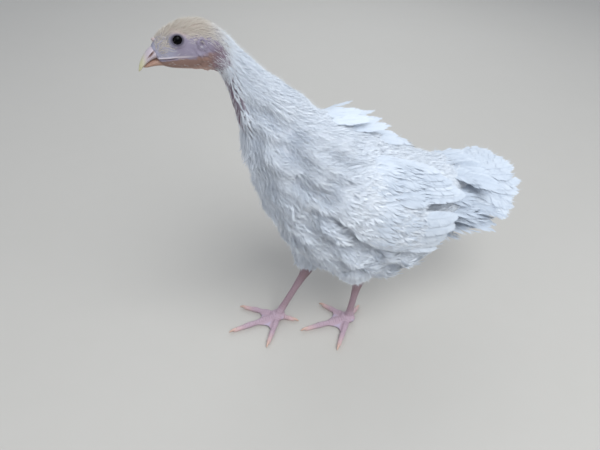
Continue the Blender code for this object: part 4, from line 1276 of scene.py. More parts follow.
def bill_piece(half, stations, material):
    """One half of the bill. Only the upper one has nostrils and a pale cutting edge."""
    shape = bill_half(stations)
    points = shape.points.copy()
    slit, flap, edge = np.zeros((3, len(points)))
    if half == "upper":
        slit, flap = nostril(points)
        points[:, 1] += np.sign(points[:, 1]) * (FLAP_HEIGHT * flap - SLIT_DEPTH * slit)
        edge = cutting_edge(points, stations)
    reach = ramp(-points[:, 0], 219.0, 226.5)
    # The slit mark paints shade into the nostril's slit.
    marks = {"tip": reach * 0.9, "slit": np.clip(slit * 1.3, 0, 1), "edge": edge * 0.8 * (1 - reach)}
    shape = outward(Shape(points, shape.faces, None, marks))
    make_piece(f"horn_{half}", shape, material, "horn", f"bill_{half}")


bill_piece("upper", UPPER_BILL, HORN)
bill_piece("lower", LOWER_BILL, JAW_HORN)


# %% Claws
def claw_piece(side, leg, number, toe):
    """A curved cone, deeper than wide, with its tip turned to the floor."""
    pad, aim = placed(leg.pad, side), toe_aim(toe)
    rings = []
    for t in np.linspace(0.0, 1.0, 16):
        centre = pad + aim * (toe.length - CLAW_LENGTH - 0.6 + (CLAW_LENGTH + 0.2) * t)
        centre = centre + UP * (toe.tip_radius * 0.95 + 0.7 * math.sin(t * math.pi) - 1.5 * t**2)
        size = CLAW_RADIUS * (1.0 - 0.72 * t**2.2) * 0.92
        rings.append(ring_about(centre, aim - UP * 0.5 * t, (size * 0.78, size), UP, 20))
    shape = loft(rings)
    reach = np.clip((shape.points - pad) @ aim - (toe.length - CLAW_LENGTH), 0, None) / CLAW_LENGTH
    zero = np.zeros(len(shape.points))
    shape = outward(shape._replace(marks={"tip": reach, "slit": zero, "edge": zero}))
    make_piece(f"horn_{side}_{number}", shape, CLAW, "horn", f"claw_{side}_{number}")


for side, leg in LEGS.items():
    for number, toe in enumerate(leg.toes.values(), 1):
        claw_piece(side, leg, number, toe)

# %% [markdown]
# A turkey's eye looks almost black from a little way off: a dark brown iris round a wide
# pupil, under a clear wet cornea. A fine sphere with a slight bulge at the front takes the
# highlight, and marks on its points say where pupil, iris and dark rim are.


# %% Eyes
CORNEA_BULGE = 0.22
PUPIL_EDGE, IRIS_EDGE = (17.0, 19.0), (34.0, 40.0)  # degrees from the middle of the look


def eyeball(side_name):
    low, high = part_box(f"eye_{side_name}")
    centre = np.array((low + high) / 2) / MM - np.array((SHIFT_X, 0.0, 0.0))
    look, _, up = eye_directions(SIDES[side_name])
    rings = []
    for t in np.linspace(0.02, math.pi - 0.02, 40):
        radius = EYE_RADIUS + CORNEA_BULGE * hill(t, 0.0, 0.55)
        middle = centre + look * radius * math.cos(t)
        rings.append(ring_about(middle, look, (radius * math.sin(t),) * 2, up, 48))
    shape = loft(rings)
    turn = np.degrees(np.arccos(np.clip(unit(shape.points - centre) @ look, -1, 1)))
    marks = {"pupil": 1 - ramp(turn, *PUPIL_EDGE), "rim": ramp(turn, *IRIS_EDGE)}
    shape = outward(shape._replace(marks=marks))
    make_piece(f"ball_{side_name}", shape, EYE, "eye", f"eye_{side_name}")


for side in SIDES:
    eyeball(side)

# %% [markdown]
# A feather is a shaft with barbs on both sides. On this young bird the small feathers are
# frayed and loose, so one sees the barbs' free ends more than the shafts. A feather
# pattern is made of many thin barbs, a few at a time leaning together. Stiff feathers of
# wing and tail get close, blunt barbs that form a vane, with a few stray ones at its edge.
# Five patterns of each kind are enough, because each feather bends, turns and scales one
# of them in its own way.

# %% Feather patterns
Pattern = namedtuple("Pattern", "along across lift faces")
# Lengths in mm: the feather, its half width, one barb's width, the shaft's width. Shares: how
# far forward a barb runs, where the vane is widest, how much the tips of one clump gather,
# how uneven the barbs are, how far they leave the vane, and where they start to taper.
# Counts: barbs a side, barbs in a clump, and stray ones a side.
Kind = namedtuple(
    "Kind",
    "length half_width barb_width shaft lean widest gather loose flick taper barbs clump fray",
)
KINDS = {
    "contour": Kind(27.0, 6.0, 0.80, 0.30, 0.46, 0.66, 0.22, 0.14, 0.05, 0.50, 16, 4, 2),
    "downy": Kind(26.0, 6.6, 0.62, 0.22, 0.50, 0.66, 0.32, 0.26, 0.15, 0.45, 16, 3, 2),
    "hackle": Kind(17.0, 3.0, 0.46, 0.22, 0.60, 0.60, 0.25, 0.22, 0.10, 0.45, 11, 3, 1),
    "pin": Kind(8.0, 1.0, 0.34, 0.50, 0.60, 0.60, 0.20, 0.22, 0.12, 0.50, 5, 3, 0),
    "covert": Kind(32.0, 7.5, 0.95, 0.40, 0.36, 0.66, 0.14, 0.10, 0.04, 0.65, 22, 6, 5),
    "blade": Kind(42.0, 6.0, 1.10, 0.60, 0.28, 0.72, 0.12, 0.08, 0.04, 0.80, 30, 6, 6),
    "flight": Kind(92.0, 7.5, 1.10, 1.00, 0.15, 0.66, 0.08, 0.05, 0.03, 0.80, 58, 12, 20),
    "tail": Kind(112.0, 10.5, 1.45, 1.20, 0.17, 0.80, 0.14, 0.07, 0.04, 0.80, 70, 9, 26),
}
VARIANTS = 5


def vane_outline(t, kind):
    """The share of the full half width at a share t of the feather's length."""
    swell = 0.35 + 0.65 * math.sin(min(t / kind.widest, 1.0) * math.pi / 2)
    past = max(t - kind.widest, 0.0) / (1.0 - kind.widest)
    return swell * math.sqrt(max(1.0 - past**2.2, 0.02))


def feather_pattern(kind, rng):
    """One feather of this kind, its barbs laid out in mm and then given as shares."""
    points, faces = [], []

    def strip(path, widths):
        """A flat strip along a path, as wide as each width, square to the way it runs."""
        run = np.gradient(path[:, :2], axis=0)
        normal = unit(np.stack([-run[:, 1], run[:, 0]], axis=1))
        before = None
        for place, across, width in zip(path, normal, widths):
            first, half = len(points), np.array((*across, 0.0)) * width / 2
            if width > 0:
                points.extend([place - half, place + half])
                edge = (first, first + 1)
            else:
                points.append(place)
                edge = (first, first)
            if before:
                faces.append((before[0], before[1], edge[1]))
                if width > 0:
                    faces.append((before[0], edge[1], edge[0]))
            before = edge

    def barb(t, side, grow, shift, flick, width, taper):
        lean = kind.lean * (1.0 - 0.55 * t) * (1.0 + shift)
        end = min(t + lean, 1.0)
        reach = side * vane_outline(end, kind) * kind.half_width * grow
        q = np.array((0.0, taper, 1.0))
        path = np.stack([
            (t + lean * q**1.25) * kind.length, reach * q**0.85,
            (0.05 * q + flick * q**2) * kind.half_width,
        ], axis=1)
        strip(path, width * np.array((0.9, 1.0, 0.0)))

    pitch = 0.9 / kind.barbs
    for side in (-1, 1):
        for start in range(0, kind.barbs, kind.clump):
            members = range(start, min(start + kind.clump, kind.barbs))
            shared = rng.normal(0.0, kind.loose, 3)
            middle = (len(members) - 1) / 2
            for place, j in enumerate(members):
                own = rng.normal(0.0, kind.loose * 0.4, 3)
                toward = (middle - place) * pitch * kind.gather / kind.lean
                rise = (shared[2] + own[2]) / max(kind.loose, 0.01) * kind.flick * 0.6
                barb(
                    0.04 + pitch * (j + 0.5), side, 1.0 + shared[0] + own[0],
                    toward + shared[1] + own[1], rise, kind.barb_width, kind.taper,
                )
        for t in rng.uniform(0.25, 0.95, kind.fray):
            grow = rng.uniform(1.05, 1.4)
            barb(t, side, grow, rng.normal(0, 0.3), rng.normal(0, 0.25), 0.4, 0.5)
    shaft = np.array([(0.0, 0.0, 0.04), (0.5, 0.0, 0.10), (1.0, 0.0, 0.05)])
    strip(shaft * (kind.length, 1.0, kind.half_width), kind.shaft * np.array((1.0, 0.7, 0.0)))
    along, across, lift = np.array(points).T
    return Pattern(along / along.max(), across / kind.half_width, lift / kind.half_width, np.array(faces))


def hair_pattern():
    """One thin blade that tapers to a point."""
    along = np.array((0.0, 0.0, 0.45, 0.45, 1.0))
    across = np.array((-1.0, 1.0, -0.8, 0.8, 0.0))
    return Pattern(along, across, np.zeros(5), np.array([(0, 1, 3), (0, 3, 2), (2, 3, 4)]))


pattern_rng = np.random.default_rng(7)
PATTERNS = {
    name: [feather_pattern(kind, pattern_rng) for _ in range(VARIANTS)]
    for name, kind in KINDS.items()
}
PATTERNS["hair"] = [hair_pattern() for _ in range(VARIANTS)]
print({name: len(made[0].faces) for name, made in PATTERNS.items()}, "triangles each")

# %% [markdown]
# One function lays all feathers. Each has a path of a few points and an upward direction at
# each of them. The pattern's points are carried along that path, pushed sideways by
# the feather's own half width, and dropped a little at the edges, which makes the vane
# hollow below like a real one. Each feather's faces also get a tiny patch of the unwrap,
# at the place of its root.

# %% Lay feathers
PATCH = 0.003
VANE_HOLLOW = 0.14


def shares_of(along, steps):
    """How much each of the path's points counts at each point of a pattern."""
    at = np.clip(along, 0.0, 1.0) * (steps - 1)
    low = np.minimum(at.astype(int), steps - 2)
    weight = np.zeros((len(along), steps))
    weight[np.arange(len(along)), low] = 1.0 - (at - low)
    weight[np.arange(len(along)), low + 1] = at - low
    return weight


def lay(kind, centres, ups, half_width, places, tone, tan=None):
    """The shape of many feathers, one along each path of centres (feather, step, xyz)."""
    count, steps = centres.shape[:2]
    half_width = np.broadcast_to(half_width, count)
    along = unit(np.gradient(centres, axis=1))
    side = unit(np.cross(ups, along))
    up = np.cross(along, side)
    tan = np.zeros(count) if tan is None else tan
    made = []
    for number, pattern in enumerate(PATTERNS[kind]):
        pick = np.arange(count) % VARIANTS == number
        n, size = int(pick.sum()), len(pattern.along)
        if n == 0:
            continue
        weight = shares_of(pattern.along, steps)
        width = half_width[pick][:, None]
        across = pattern.across[None, :] * width
        lift = (pattern.lift[None, :] - VANE_HOLLOW * pattern.across[None, :] ** 2) * width
        points = np.einsum("vk,nkd->nvd", weight, centres[pick])
        points += np.einsum("vk,nkd->nvd", weight, side[pick]) * across[..., None]
        points += np.einsum("vk,nkd->nvd", weight, up[pick]) * lift[..., None]
        faces = pattern.faces[None] + (np.arange(n) * size)[:, None, None]
        patch = np.stack([pattern.along, pattern.across * 0.3 + 0.5], axis=1) * PATCH
        uv = np.clip(places[pick][:, None, :] + patch[None], 0.0, 1.0)
        marks = {
            "tone": np.repeat(tone[pick], size), "tan": np.repeat(tan[pick], size),
            "reach": np.tile(pattern.along, n),
        }
        made.append(Shape(points.reshape(-1, 3), faces.reshape(-1, 3), uv.reshape(-1, 2), marks))
    return joined(made)


def coat(
    kind, surface, u, a, heading, length, half_width, depth, lift, places, rng,
    flip=1.0, twist=0.25, steps=6, tan=None, hollow_shade=0.0,
):
    """Feathers rooted at depth under a surface, whose tips come out to it and a bit over."""
    centres, outs = walk(surface, u, a, heading, length, steps, flip)
    s = np.linspace(0.0, 1.0, steps)[None, :]
    depth = np.broadcast_to(depth, len(u))[:, None]
    height = -depth * (1.0 - s) ** 1.5 * 0.9 + lift[:, None] * s**1.6
    centres = centres + outs * height[..., None]
    side = np.cross(outs, unit(np.gradient(centres, axis=1)))
    turn = rng.normal(0.0, twist, len(u))[:, None, None]
    bend = (rng.normal(0.0, 0.06, len(u)) * length)[:, None, None] * s[..., None] ** 2
    # A feather's tone is partly random and partly painted shade for lying in a hollow.
    tone = rng.uniform(0, 1, len(u)) * 0.5 + hollow_shade
    return lay(kind, centres + side * bend, outs + side * turn, half_width, places, tone, tan)


FILAMENT_DEPTH, FILAMENT_LIFT = 1.0, 0.5
STRAIGHT_STEPS = 6


def filaments(surface, u, a, heading, length, half_width, lift, places, rng, flip=1.0, hollow_shade=0.0):
    """Loose hairs that leave a coat near its outside."""
    return coat(
        "hair", surface, u, a, heading, length, half_width, FILAMENT_DEPTH, lift + FILAMENT_LIFT,
        places, rng, flip, twist=0.8, steps=4, hollow_shade=hollow_shade,
    )


def straight_feathers(kind, root, aim, up, length, level, droop, turn, half_width, places, tone):
    """Feathers that run straight from their roots at a level, and droop toward their tips."""
    s = np.linspace(0.0, 1.0, STRAIGHT_STEPS)[None, :, None]
    rise = np.broadcast_to(level, len(root))[:, None, None] - droop * s**2
    centres = root[:, None] + aim[:, None] * length[:, None, None] * s + up[:, None] * rise
    ups = np.repeat((up + np.cross(aim, up) * turn)[:, None], STRAIGHT_STEPS, axis=1)
    return lay(kind, centres, ups, half_width, places, tone)


print("each feather takes", PATCH, "of the unwrap")

# %% [markdown]
# Feathers grow in staggered rows, closer together on the neck than on the back. Roots are
# scattered in such rows with some jitter, and then shared out among a few pieces, by
# region. Under the wings none are needed.

# %% Scatter the roots
ROOT_U = (HEAD_END - 6, NECK_END, NECK_END + 60, BODY_LENGTH)
ROOT_SPACING = (2.5, 3.8, 4.7, 5.0)
FEATHER_LENGTH = (8.0, 17.0, 27.0, 30.0)
ROW_PITCH = 0.86  # the distance between rows, as a share of the spacing in a row
WING_COVERS = (-58.0, 30.0)


def round_share(a):
    """Where an angle lies on the unwrap."""
    return (a + math.pi) / (2 * math.pi) * 0.99


def scatter(rng):
    """Roots over the whole body, as distances and angles."""
    us, angles_found = [], []
    u, row = HEAD_END - 8.0, 0
    turn = np.linspace(-math.pi, math.pi, 181)
    while u < BODY_LENGTH - 3.0:
        spacing = float(np.interp(u, ROOT_U, ROOT_SPACING))
        ring = body_point(u, turn)
        run = np.concatenate([[0.0], np.cumsum(np.linalg.norm(np.diff(ring, axis=0), axis=1))])
        count = int(run[-1] / spacing)
        at = (np.arange(count) + 0.5 * (row % 2) + rng.uniform(-0.35, 0.35, count)) / count * run[-1]
        angles_found.append(np.interp(at % run[-1], run, turn))
        us.append(u + rng.uniform(-0.45, 0.45, count) * spacing)
        u += spacing * ROW_PITCH
        row += 1
    return np.concatenate(us), np.concatenate(angles_found)


def under_wing(u, a):
    """True where the folded wing covers the body."""
    p = body_point(u, a)
    width = np.interp(p[:, 0], SHEET_X, SHEET_HALF_WIDTH)
    height = np.interp(p[:, 0], SHEET_X, SHEET_HALF_HEIGHT)
    up = (p[:, 2] - np.interp(p[:, 0], SHEET_X, SHEET_CENTRE_Z)) / height
    angle = np.degrees(np.arctan2(up, np.abs(p[:, 1]) / width))
    half = np.interp(p[:, 0], WING_CORE[:, 0], WING_CORE[:, 2]) - 9.0
    return (np.abs(angle - 18.0) < half) & (p[:, 0] > WING_COVERS[0]) & (p[:, 0] < WING_COVERS[1])


root_rng = np.random.default_rng(21)
root_u, root_a = scatter(root_rng)
kept = throat_strip(root_u, root_a) < root_rng.uniform(0.05, 0.9, len(root_u))
kept &= behind_cheek(root_u, root_a) > HEAD_END - 8.0 + root_rng.uniform(0.0, 5.0, len(root_u))
kept &= ~under_wing(root_u, root_a)
root_u, root_a = root_u[kept], root_a[kept]
print(len(root_u), "roots on the body")

# %% [markdown]
# The lie of the coat isn't even. Whole groups of feathers turn or lift together and make
# tufts with shadows between them. So each feather takes its turn and lift from smooth
# noise over the body first, and adds only a little of its own. On the sides, feathers
# in the hollows between tufts also get painted shade in their tone.


# %% The lie of the coat
TUFT_SIZE, TUFT_HEIGHT, TUFT_TURN = 28.0, 4.2, 0.30
HOLLOW_PAINTED_SHADE = 0.55
SLOPE_AT, SLOPE_DEGREES = (HEAD_END, HEAD_END + 30, NECK_END, NECK_END + 60), (20.0, 38.0, 36.0, 24.0)


def tufted(u, a):
    """The coat's outside with its tufts, rising where feathers crowd and sinking between."""
    on_side = (0.35 + 0.65 * ramp(np.abs(a), 0.5, 1.3)) * (1.0 - 0.6 * ramp(np.abs(a), 2.0, 2.7))
    fade = 1 - ramp(u, RUMP_START, BODY_LENGTH)
    swell = TUFT_HEIGHT * on_side * ramp(u, HEAD_END, NECK_END) * fade
    return body_point(u, a, swell * (waves(body_point(u, a), TUFT_SIZE, 13) - 0.6))


def painted_hollow_shade(u, a):
    """How much painted shade a feather gets for lying in a hollow between the tufts, none on the back,
    where they are flat.
    """
    low = ramp(-waves(body_point(u, a), TUFT_SIZE, 13), -0.1, 0.9)
    return HOLLOW_PAINTED_SHADE * ramp(np.abs(a), 0.7, 1.4) * low


def tuft_turn(u, a):
    """How far the feathers of a tuft turn together."""
    return TUFT_TURN * waves(body_point(u, a), TUFT_SIZE * 1.4, 11)


def body_places(u, a):
    """Where a root lies on the unwrap of the body."""
    return np.stack([u / (BODY_LENGTH + 4), round_share(a)], axis=1)


def lie_of_coat(u, a):
    """The heading at which feathers lie: down and back on the neck, nearly level behind it."""
    slope = np.radians(np.interp(u, SLOPE_AT, SLOPE_DEGREES))
    way = np.stack([np.cos(slope), np.zeros(len(u)), -np.sin(slope)], axis=1)
    along, around, _ = directions(body_point, u, a)
    return np.arctan2((way * unit(around)).sum(axis=1), (way * unit(along)).sum(axis=1))


at_neck_root = np.degrees(lie_of_coat(np.array([NECK_END]), np.array([math.pi / 2])))
print("feathers on the side of the neck's root turn by", at_neck_root.round(), "degrees")


# %% Body feathers
SLIM_AT, SLIM_SHARE = (HEAD_END, NECK_END, NECK_END + 40), (0.17, 0.20, 0.24)


def body_coat(name, pick, kind, seed, grow=1.0, unrest=1.0):
    """The feathers of one region: grow lengthens them, and unrest ruffles them."""
    rng = np.random.default_rng(seed)
    u, a = root_u[pick], root_a[pick]
    count = len(u)
    length = np.interp(u, ROOT_U, FEATHER_LENGTH) * rng.uniform(0.75, 1.2, count) * grow
    heading = lie_of_coat(u, a) + (tuft_turn(u, a) + rng.normal(0.0, 0.14, count)) * unrest
    tuft_lift = np.maximum(waves(body_point(u, a), TUFT_SIZE, 12), -0.5)
    own_lift = rng.gamma(2.0, 0.45, count) + 1.6 * tuft_lift
    lift = (0.25 + unrest * own_lift) * np.interp(u, (HEAD_END, NECK_END), (0.4, 1.0))
    shape = coat(
        kind, tufted, u, a, heading, length, length * np.interp(u, SLIM_AT, SLIM_SHARE),
        coat_depth(u, a) * 0.95, lift, body_places(u, a), rng,
        twist=0.24 * unrest, hollow_shade=painted_hollow_shade(u, a),
    )
    make_piece(name, shape, PLUMAGE, "plumage")


side_angle = np.abs(root_a)
on_neck = root_u < NECK_END - 6
on_pins = on_neck & (thin_zone(root_u, root_a) > root_rng.uniform(0.2, 0.8, len(root_u)))
on_back = ~on_neck & (side_angle < 0.95)
on_front = ~on_neck & ~on_back & (root_u < NECK_END + 70)
on_belly = ~on_neck & ~on_back & ~on_front & (side_angle > 2.3)
on_flank = ~(on_neck | on_back | on_front | on_belly)
body_coat("feathers_neck", on_neck & ~on_pins, "hackle", 31, 1.15, 0.7)
body_coat("feathers_pins", on_pins, "pin", 37, 0.8, 0.7)
body_coat("feathers_back", on_back, "contour", 32, 1.0, 0.35)
body_coat("feathers_breast", on_front, "downy", 33, 1.0, 1.1)
body_coat("feathers_belly", on_belly, "downy", 34, 1.05, 1.2)
body_coat("feathers_flank_left", on_flank & (root_a > 0), "contour", 35, 1.0, 1.15)
body_coat("feathers_flank_right", on_flank & (root_a < 0), "contour", 36, 1.0, 1.15)


# %% [markdown]
# Up close, the edge of young plumage is a haze of loose filaments. It makes the white look
# soft, because light gets between them. Each filament is one hair that leaves the coat near
# its outside and lies roughly as the feathers do.


# %% Loose down
DOWN_LENGTH = (5.0, 9.0, 12.0, 12.0)
LOOSE_DOWN = {
    "neck": (on_neck & ~on_pins, 9000),
    "back": (on_back, 13000),
    "breast": (on_front, 14000),
    "belly": (on_belly, 12000),
    "flanks": (on_flank, 16000),
}


def loose_down(name, pick, seed, count):
    rng = np.random.default_rng(seed)
    root = rng.choice(np.flatnonzero(pick), count)
    u = root_u[root] + rng.normal(0.0, 2.0, count)
    a = root_a[root] + rng.normal(0.0, 0.04, count)
    length = np.interp(u, ROOT_U, DOWN_LENGTH) * rng.uniform(0.6, 1.2, count)
    heading = lie_of_coat(u, a) + (tuft_turn(u, a) + rng.normal(0.0, 0.45, count))
    lift = rng.gamma(2.0, 0.7, count)
    shape = filaments(
        tufted, u, a, heading, length, rng.uniform(0.06, 0.11, count), lift,
        body_places(u, a), rng, hollow_shade=painted_hollow_shade(u, a),
    )
    make_piece(name, shape, PLUMAGE, "plumage")


for number, (region, (pick, count)) in enumerate(LOOSE_DOWN.items()):
    loose_down(f"down_{region}", pick, 91 + number, count)

# %% [markdown]
# The thighs wear softer feathers that point down the leg and end in a ragged hem over the
# hock. Their surface is a tube round the thigh bone, so the same walk works there.


# %% Thigh feathers
THIGH_FEATHERS, THIGH_HAIRS, THIGH_COAT = 560, 4500, 6.0


def thigh_coat(side, seed):
    rng = np.random.default_rng(seed)
    length = thigh_frame(side, LEGS[side])[2]

    def surface(along, around):
        return thigh_point(side, along, around)

    count = THIGH_FEATHERS
    size = rng.uniform(14.0, 22.0, count)
    u = np.minimum(rng.uniform(-0.2, 0.95, count) * length, length + 4.0 - 0.95 * size)
    a = rng.uniform(-math.pi, math.pi, count)
    places = np.clip(np.stack([0.2 + 0.6 * u / length * 0.9, round_share(a)], axis=1), 0, 0.99)
    feathers = coat(
        "downy", surface, u, a, rng.normal(0, 0.22, count), size, size * 0.25,
        THIGH_COAT, rng.gamma(2.0, 0.8, count), places, rng,
    )
    make_piece(f"feathers_thigh_{side}", feathers, PLUMAGE, "plumage")
    count = THIGH_HAIRS
    u, a = rng.uniform(0.0, 0.9, count) * length, rng.uniform(-math.pi, math.pi, count)
    places = np.clip(np.stack([0.2 + 0.5 * u / length, round_share(a)], axis=1), 0, 0.99)
    fine = filaments(
        surface, u, a, rng.normal(0, 0.5, count), rng.uniform(6.0, 12.0, count),
        rng.uniform(0.06, 0.11, count), rng.gamma(2.0, 0.8, count), places, rng,
    )
    make_piece(f"down_thigh_{side}", fine, PLUMAGE, "plumage")


for number, side in enumerate(LEGS):
    thigh_coat(side, 41 + number)

# %% [markdown]
# The folded wing is a stack of tiers. The long primaries lie lowest, secondaries over
# them, and shorter coverts over those, like tiles on a roof. The tiers follow the same
# named rows as the solids, with more feathers in each.

# %% Wings
Tier = namedtuple("Tier", "count root_x root_angle tip_x tip_angle width rise kind")
WING_TIERS = [
    Tier(9, (-2.0, 2.0), (-19.0, -2.0), (64.0, 84.0), (-23.0, 3.0), 14.0, (-6.0, -2.0), "flight"),
    Tier(7, (4.0, 8.0), (2.0, 16.0), (84.0, 87.0), (5.0, 19.0), 15.0, (-5.0, -0.5), "flight"),
    Tier(10, (0.0, -10.0), (32.0, 58.0), (98.0, 70.0), (40.0, 61.0), 16.0, (-2.0, 4.5), "flight"),
    Tier(9, (-22.0, -26.0), (-14.0, 18.0), (30.0, 42.0), (-13.0, 20.0), 15.0, (-3.0, 2.0), "covert"),
    Tier(11, (-22.0, -30.0), (26.0, 58.0), (50.0, 46.0), (30.0, 60.0), 15.0, (-3.0, 6.0), "covert"),
    Tier(14, (-46.0, -44.0), (-8.0, 52.0), (6.0, 18.0), (-10.0, 55.0), 15.0, (-6.0, 5.5), "covert"),
]
WING_STEPS = 7
SHINGLE = math.radians(11)  # how far each feather of a tier is turned over the next
STRAY_X, STRAY_ANGLE, STRAY_RISE = 2.0, 1.2, 0.5
SMALL_COVERTS, COVERT_HAIRS = 800, 4000


def wing_tier(side, tier, level, rng):
    """One row of feathers, fanned from its first place to its last on the wing's sheet."""
    column = (tier.count, 1)
    t = np.linspace(0.0, 1.0, tier.count)[:, None] + rng.normal(0, 0.25 / tier.count, column)
    s = np.linspace(0.0, 1.0, WING_STEPS)[None, :]

    def spread(root, tip):
        start, end = root[0] + (root[1] - root[0]) * t, tip[0] + (tip[1] - tip[0]) * t
        return start + (end - start) * s

    x = spread(tier.root_x, tier.tip_x) + rng.normal(0, STRAY_X, column) * s
    angle = spread(tier.root_angle, tier.tip_angle) + rng.normal(0, STRAY_ANGLE, column) * s
    angle = np.radians(angle)
    rise = tier.rise[0] + (tier.rise[1] - tier.rise[0]) * s**0.8 + rng.normal(0, STRAY_RISE, column) * s
    centres = wing_point(side, x, angle, rise)
    out = unit(np.stack([
        np.zeros_like(x), SIDES[side] * np.cos(angle) / np.interp(x, SHEET_X, SHEET_HALF_WIDTH),
        np.sin(angle) / np.interp(x, SHEET_X, SHEET_HALF_HEIGHT),
    ], axis=-1))
    lie = np.cross(np.array((1.0, 0.0, 0.0)), out) * SIDES[side]
    ups = out * math.cos(SHINGLE) + lie * math.sin(SHINGLE)
    row = 0.1 + 0.16 * level + 0.15 * np.clip(t[:, 0], 0, 1)
    places = np.clip(np.stack([(x[:, 0] + 80) / 200, row], axis=1), 0, 0.99)
    width = tier.width / 2 * rng.uniform(0.9, 1.1, tier.count)
    return lay(tier.kind, centres, ups, width, places, rng.uniform(0, 0.7, tier.count))


# %% Small coverts and the loose feather
def core_value(x, column):
    """A column of the wing's core at x."""
    return np.interp(x, WING_CORE[:, 0], WING_CORE[:, column])


def lesser_coverts(side, rng):
    """Small feathers over the front and top of the folded wing, and loose hairs on them."""
    count, flip = SMALL_COVERTS, SIDES[side]

    def surface(along, around):
        return wing_point(side, along, around, core_value(along, 4))

    x = rng.uniform(-68.0, 24.0, count)
    angle = np.radians(core_value(x, 1) + core_value(x, 2) * rng.uniform(-0.97, 0.97, count))
    length = rng.uniform(15.0, 25.0, count)
    places = np.stack([(x + 80) / 200, np.clip((np.degrees(angle) + 25) / 90, 0, 0.99)], axis=1)
    heading = 0.2 * waves(surface(x, angle), TUFT_SIZE, 11) + rng.normal(0, 0.2, count)
    lift = rng.gamma(2.0, 0.8, count) + 0.02 * core_value(x, 4)
    feathers = coat(
        "contour", surface, x, angle, heading, length, length * 0.26, WING_COAT, lift, places, rng, flip
    )
    pick = rng.integers(0, count, COVERT_HAIRS)
    count = COVERT_HAIRS
    x, angle = x[pick] + rng.normal(0, 2.5, count), angle[pick] + rng.normal(0, 0.04, count)
    fine = filaments(
        surface, x, angle, rng.normal(0, 0.4, count), rng.uniform(6.0, 12.0, count),
        rng.uniform(0.06, 0.10, count), rng.gamma(2.0, 0.6, count), places[pick], rng, flip,
    )
    return joined([feathers, fine])


LOOSE_PRIMARY = [(-14.0, -63.0, 171.0), (16.0, -66.0, 157.0), (46.0, -65.0, 144.5), (72.0, -60.0, 133.5)]
LOOSE_WIDTH, LOOSE_FACING = 10.0, (0.0, -1.0, 0.45)


def loose_primary():
    """The outermost left primary, which has slipped out below the folded wing."""
    path = smooth_through(LOOSE_PRIMARY, 2)[None]
    out = np.tile(unit(np.array(LOOSE_FACING)), (1, path.shape[1], 1))
    return lay("flight", path, out, LOOSE_WIDTH / 2, np.array([(0.5, 0.95)]), np.zeros(1))


for number, side in enumerate(SIDES):
    wing_rng = np.random.default_rng(51 + number)
    tiers = [wing_tier(side, tier, level, wing_rng) for level, tier in enumerate(WING_TIERS)]
    if side == "left":
        tiers.append(loose_primary())
    make_piece(f"wing_feathers_{side}", joined(tiers), VANE_TINT_AND_SHADE, "plumage", f"wing_{side}")
    make_piece(f"wing_coverts_{side}", lesser_coverts(side, wing_rng), PLUMAGE, "plumage")

# %% [markdown]
# The tail is a fan, tilted so that its near side hangs lower. Its feathers share one root
# and spread like fingers, and rows of shorter coverts hide where they start, above and
# below.

# %% Tail
FAN_ROOT = np.array((108.0, 0.0, 191.0))
FAN_COUNT, FAN_NEAR, FAN_FAR = 18, math.radians(-36), math.radians(34)
FAN_DROOP, FAN_ROLL = math.radians(8), math.radians(18)
FAN_ARCH_NEAR, FAN_ARCH_FAR = 0.0056, 0.0034
FAN_LENGTHS, FAN_WIDTH, FAN_LEVEL = (84.0, 109.0, 117.0), 21.0, 0.9
FAN_STEPS = 8
Coverts = namedtuple("Coverts", "count x half_y z spread length width pitch kind")
COVERT_DROOP = 4.0
TAIL_COVERTS = [
    Coverts(13, 104.0, 14.0, 199.0, 30.0, 60.0, 17.0, -5.0, "blade"),
    Coverts(15, 92.0, 14.0, 205.0, 34.0, 48.0, 16.0, -8.0, "covert"),
    Coverts(20, 82.0, 38.0, 186.0, 14.0, 52.0, 15.0, -4.0, "contour"),
    Coverts(20, 84.0, 42.0, 172.0, 12.0, 56.0, 15.0, -3.0, "contour"),
    Coverts(14, 106.0, 14.0, 168.0, 38.0, 80.0, 17.0, -8.0, "covert"),
    Coverts(20, 90.0, 36.0, 156.0, 20.0, 66.0, 15.0, -3.0, "contour"),
    Coverts(16, 104.0, 14.0, 150.0, 38.0, 74.0, 15.0, -10.0, "blade"),
    Coverts(20, 92.0, 30.0, 140.0, 24.0, 58.0, 15.0, -4.0, "contour"),
    Coverts(16, 92.0, 20.0, 126.0, 36.0, 42.0, 15.0, -10.0, "downy"),
]


def fan_feathers(rng):
    back = np.array((math.cos(FAN_DROOP), 0.0, -math.sin(FAN_DROOP)))
    right_way = np.array((0.0, math.cos(FAN_ROLL), math.sin(FAN_ROLL)))
    up = np.cross(back, right_way)
    up *= np.sign(up[2])
    t = np.linspace(0.0, 1.0, FAN_COUNT)
    heading = FAN_NEAR + (FAN_FAR - FAN_NEAR) * t + rng.normal(0, 0.012, FAN_COUNT)
    length = np.interp(t, (0.0, 0.45, 1.0), FAN_LENGTHS) * rng.uniform(0.95, 1.03, FAN_COUNT)
    level = -FAN_LEVEL * np.abs(np.arange(FAN_COUNT) - (FAN_COUNT - 1) / 2)
    aim = back * np.cos(heading)[:, None] + right_way * np.sin(heading)[:, None]
    s = np.linspace(0.0, 1.0, FAN_STEPS)[None, :, None]
    start = FAN_ROOT + right_way * 4.0 * np.sin(heading)[:, None] + up * level[:, None]
    centres = start[:, None] + aim[:, None] * length[:, None, None] * s
    arch = np.where(centres[..., 1] > 0, FAN_ARCH_FAR, FAN_ARCH_NEAR)
    centres[..., 2] -= arch * centres[..., 1] ** 2
    ups = up + right_way * (2.0 * arch * centres[..., 1])[..., None]
    ups = ups + rng.normal(0, 0.05, (FAN_COUNT, 1, 3))
    places = np.stack([0.1 + 0.8 * t, np.full(FAN_COUNT, 0.9)], axis=1)
    return lay("tail", centres, ups, FAN_WIDTH / 2, places, rng.uniform(0, 0.6, FAN_COUNT))


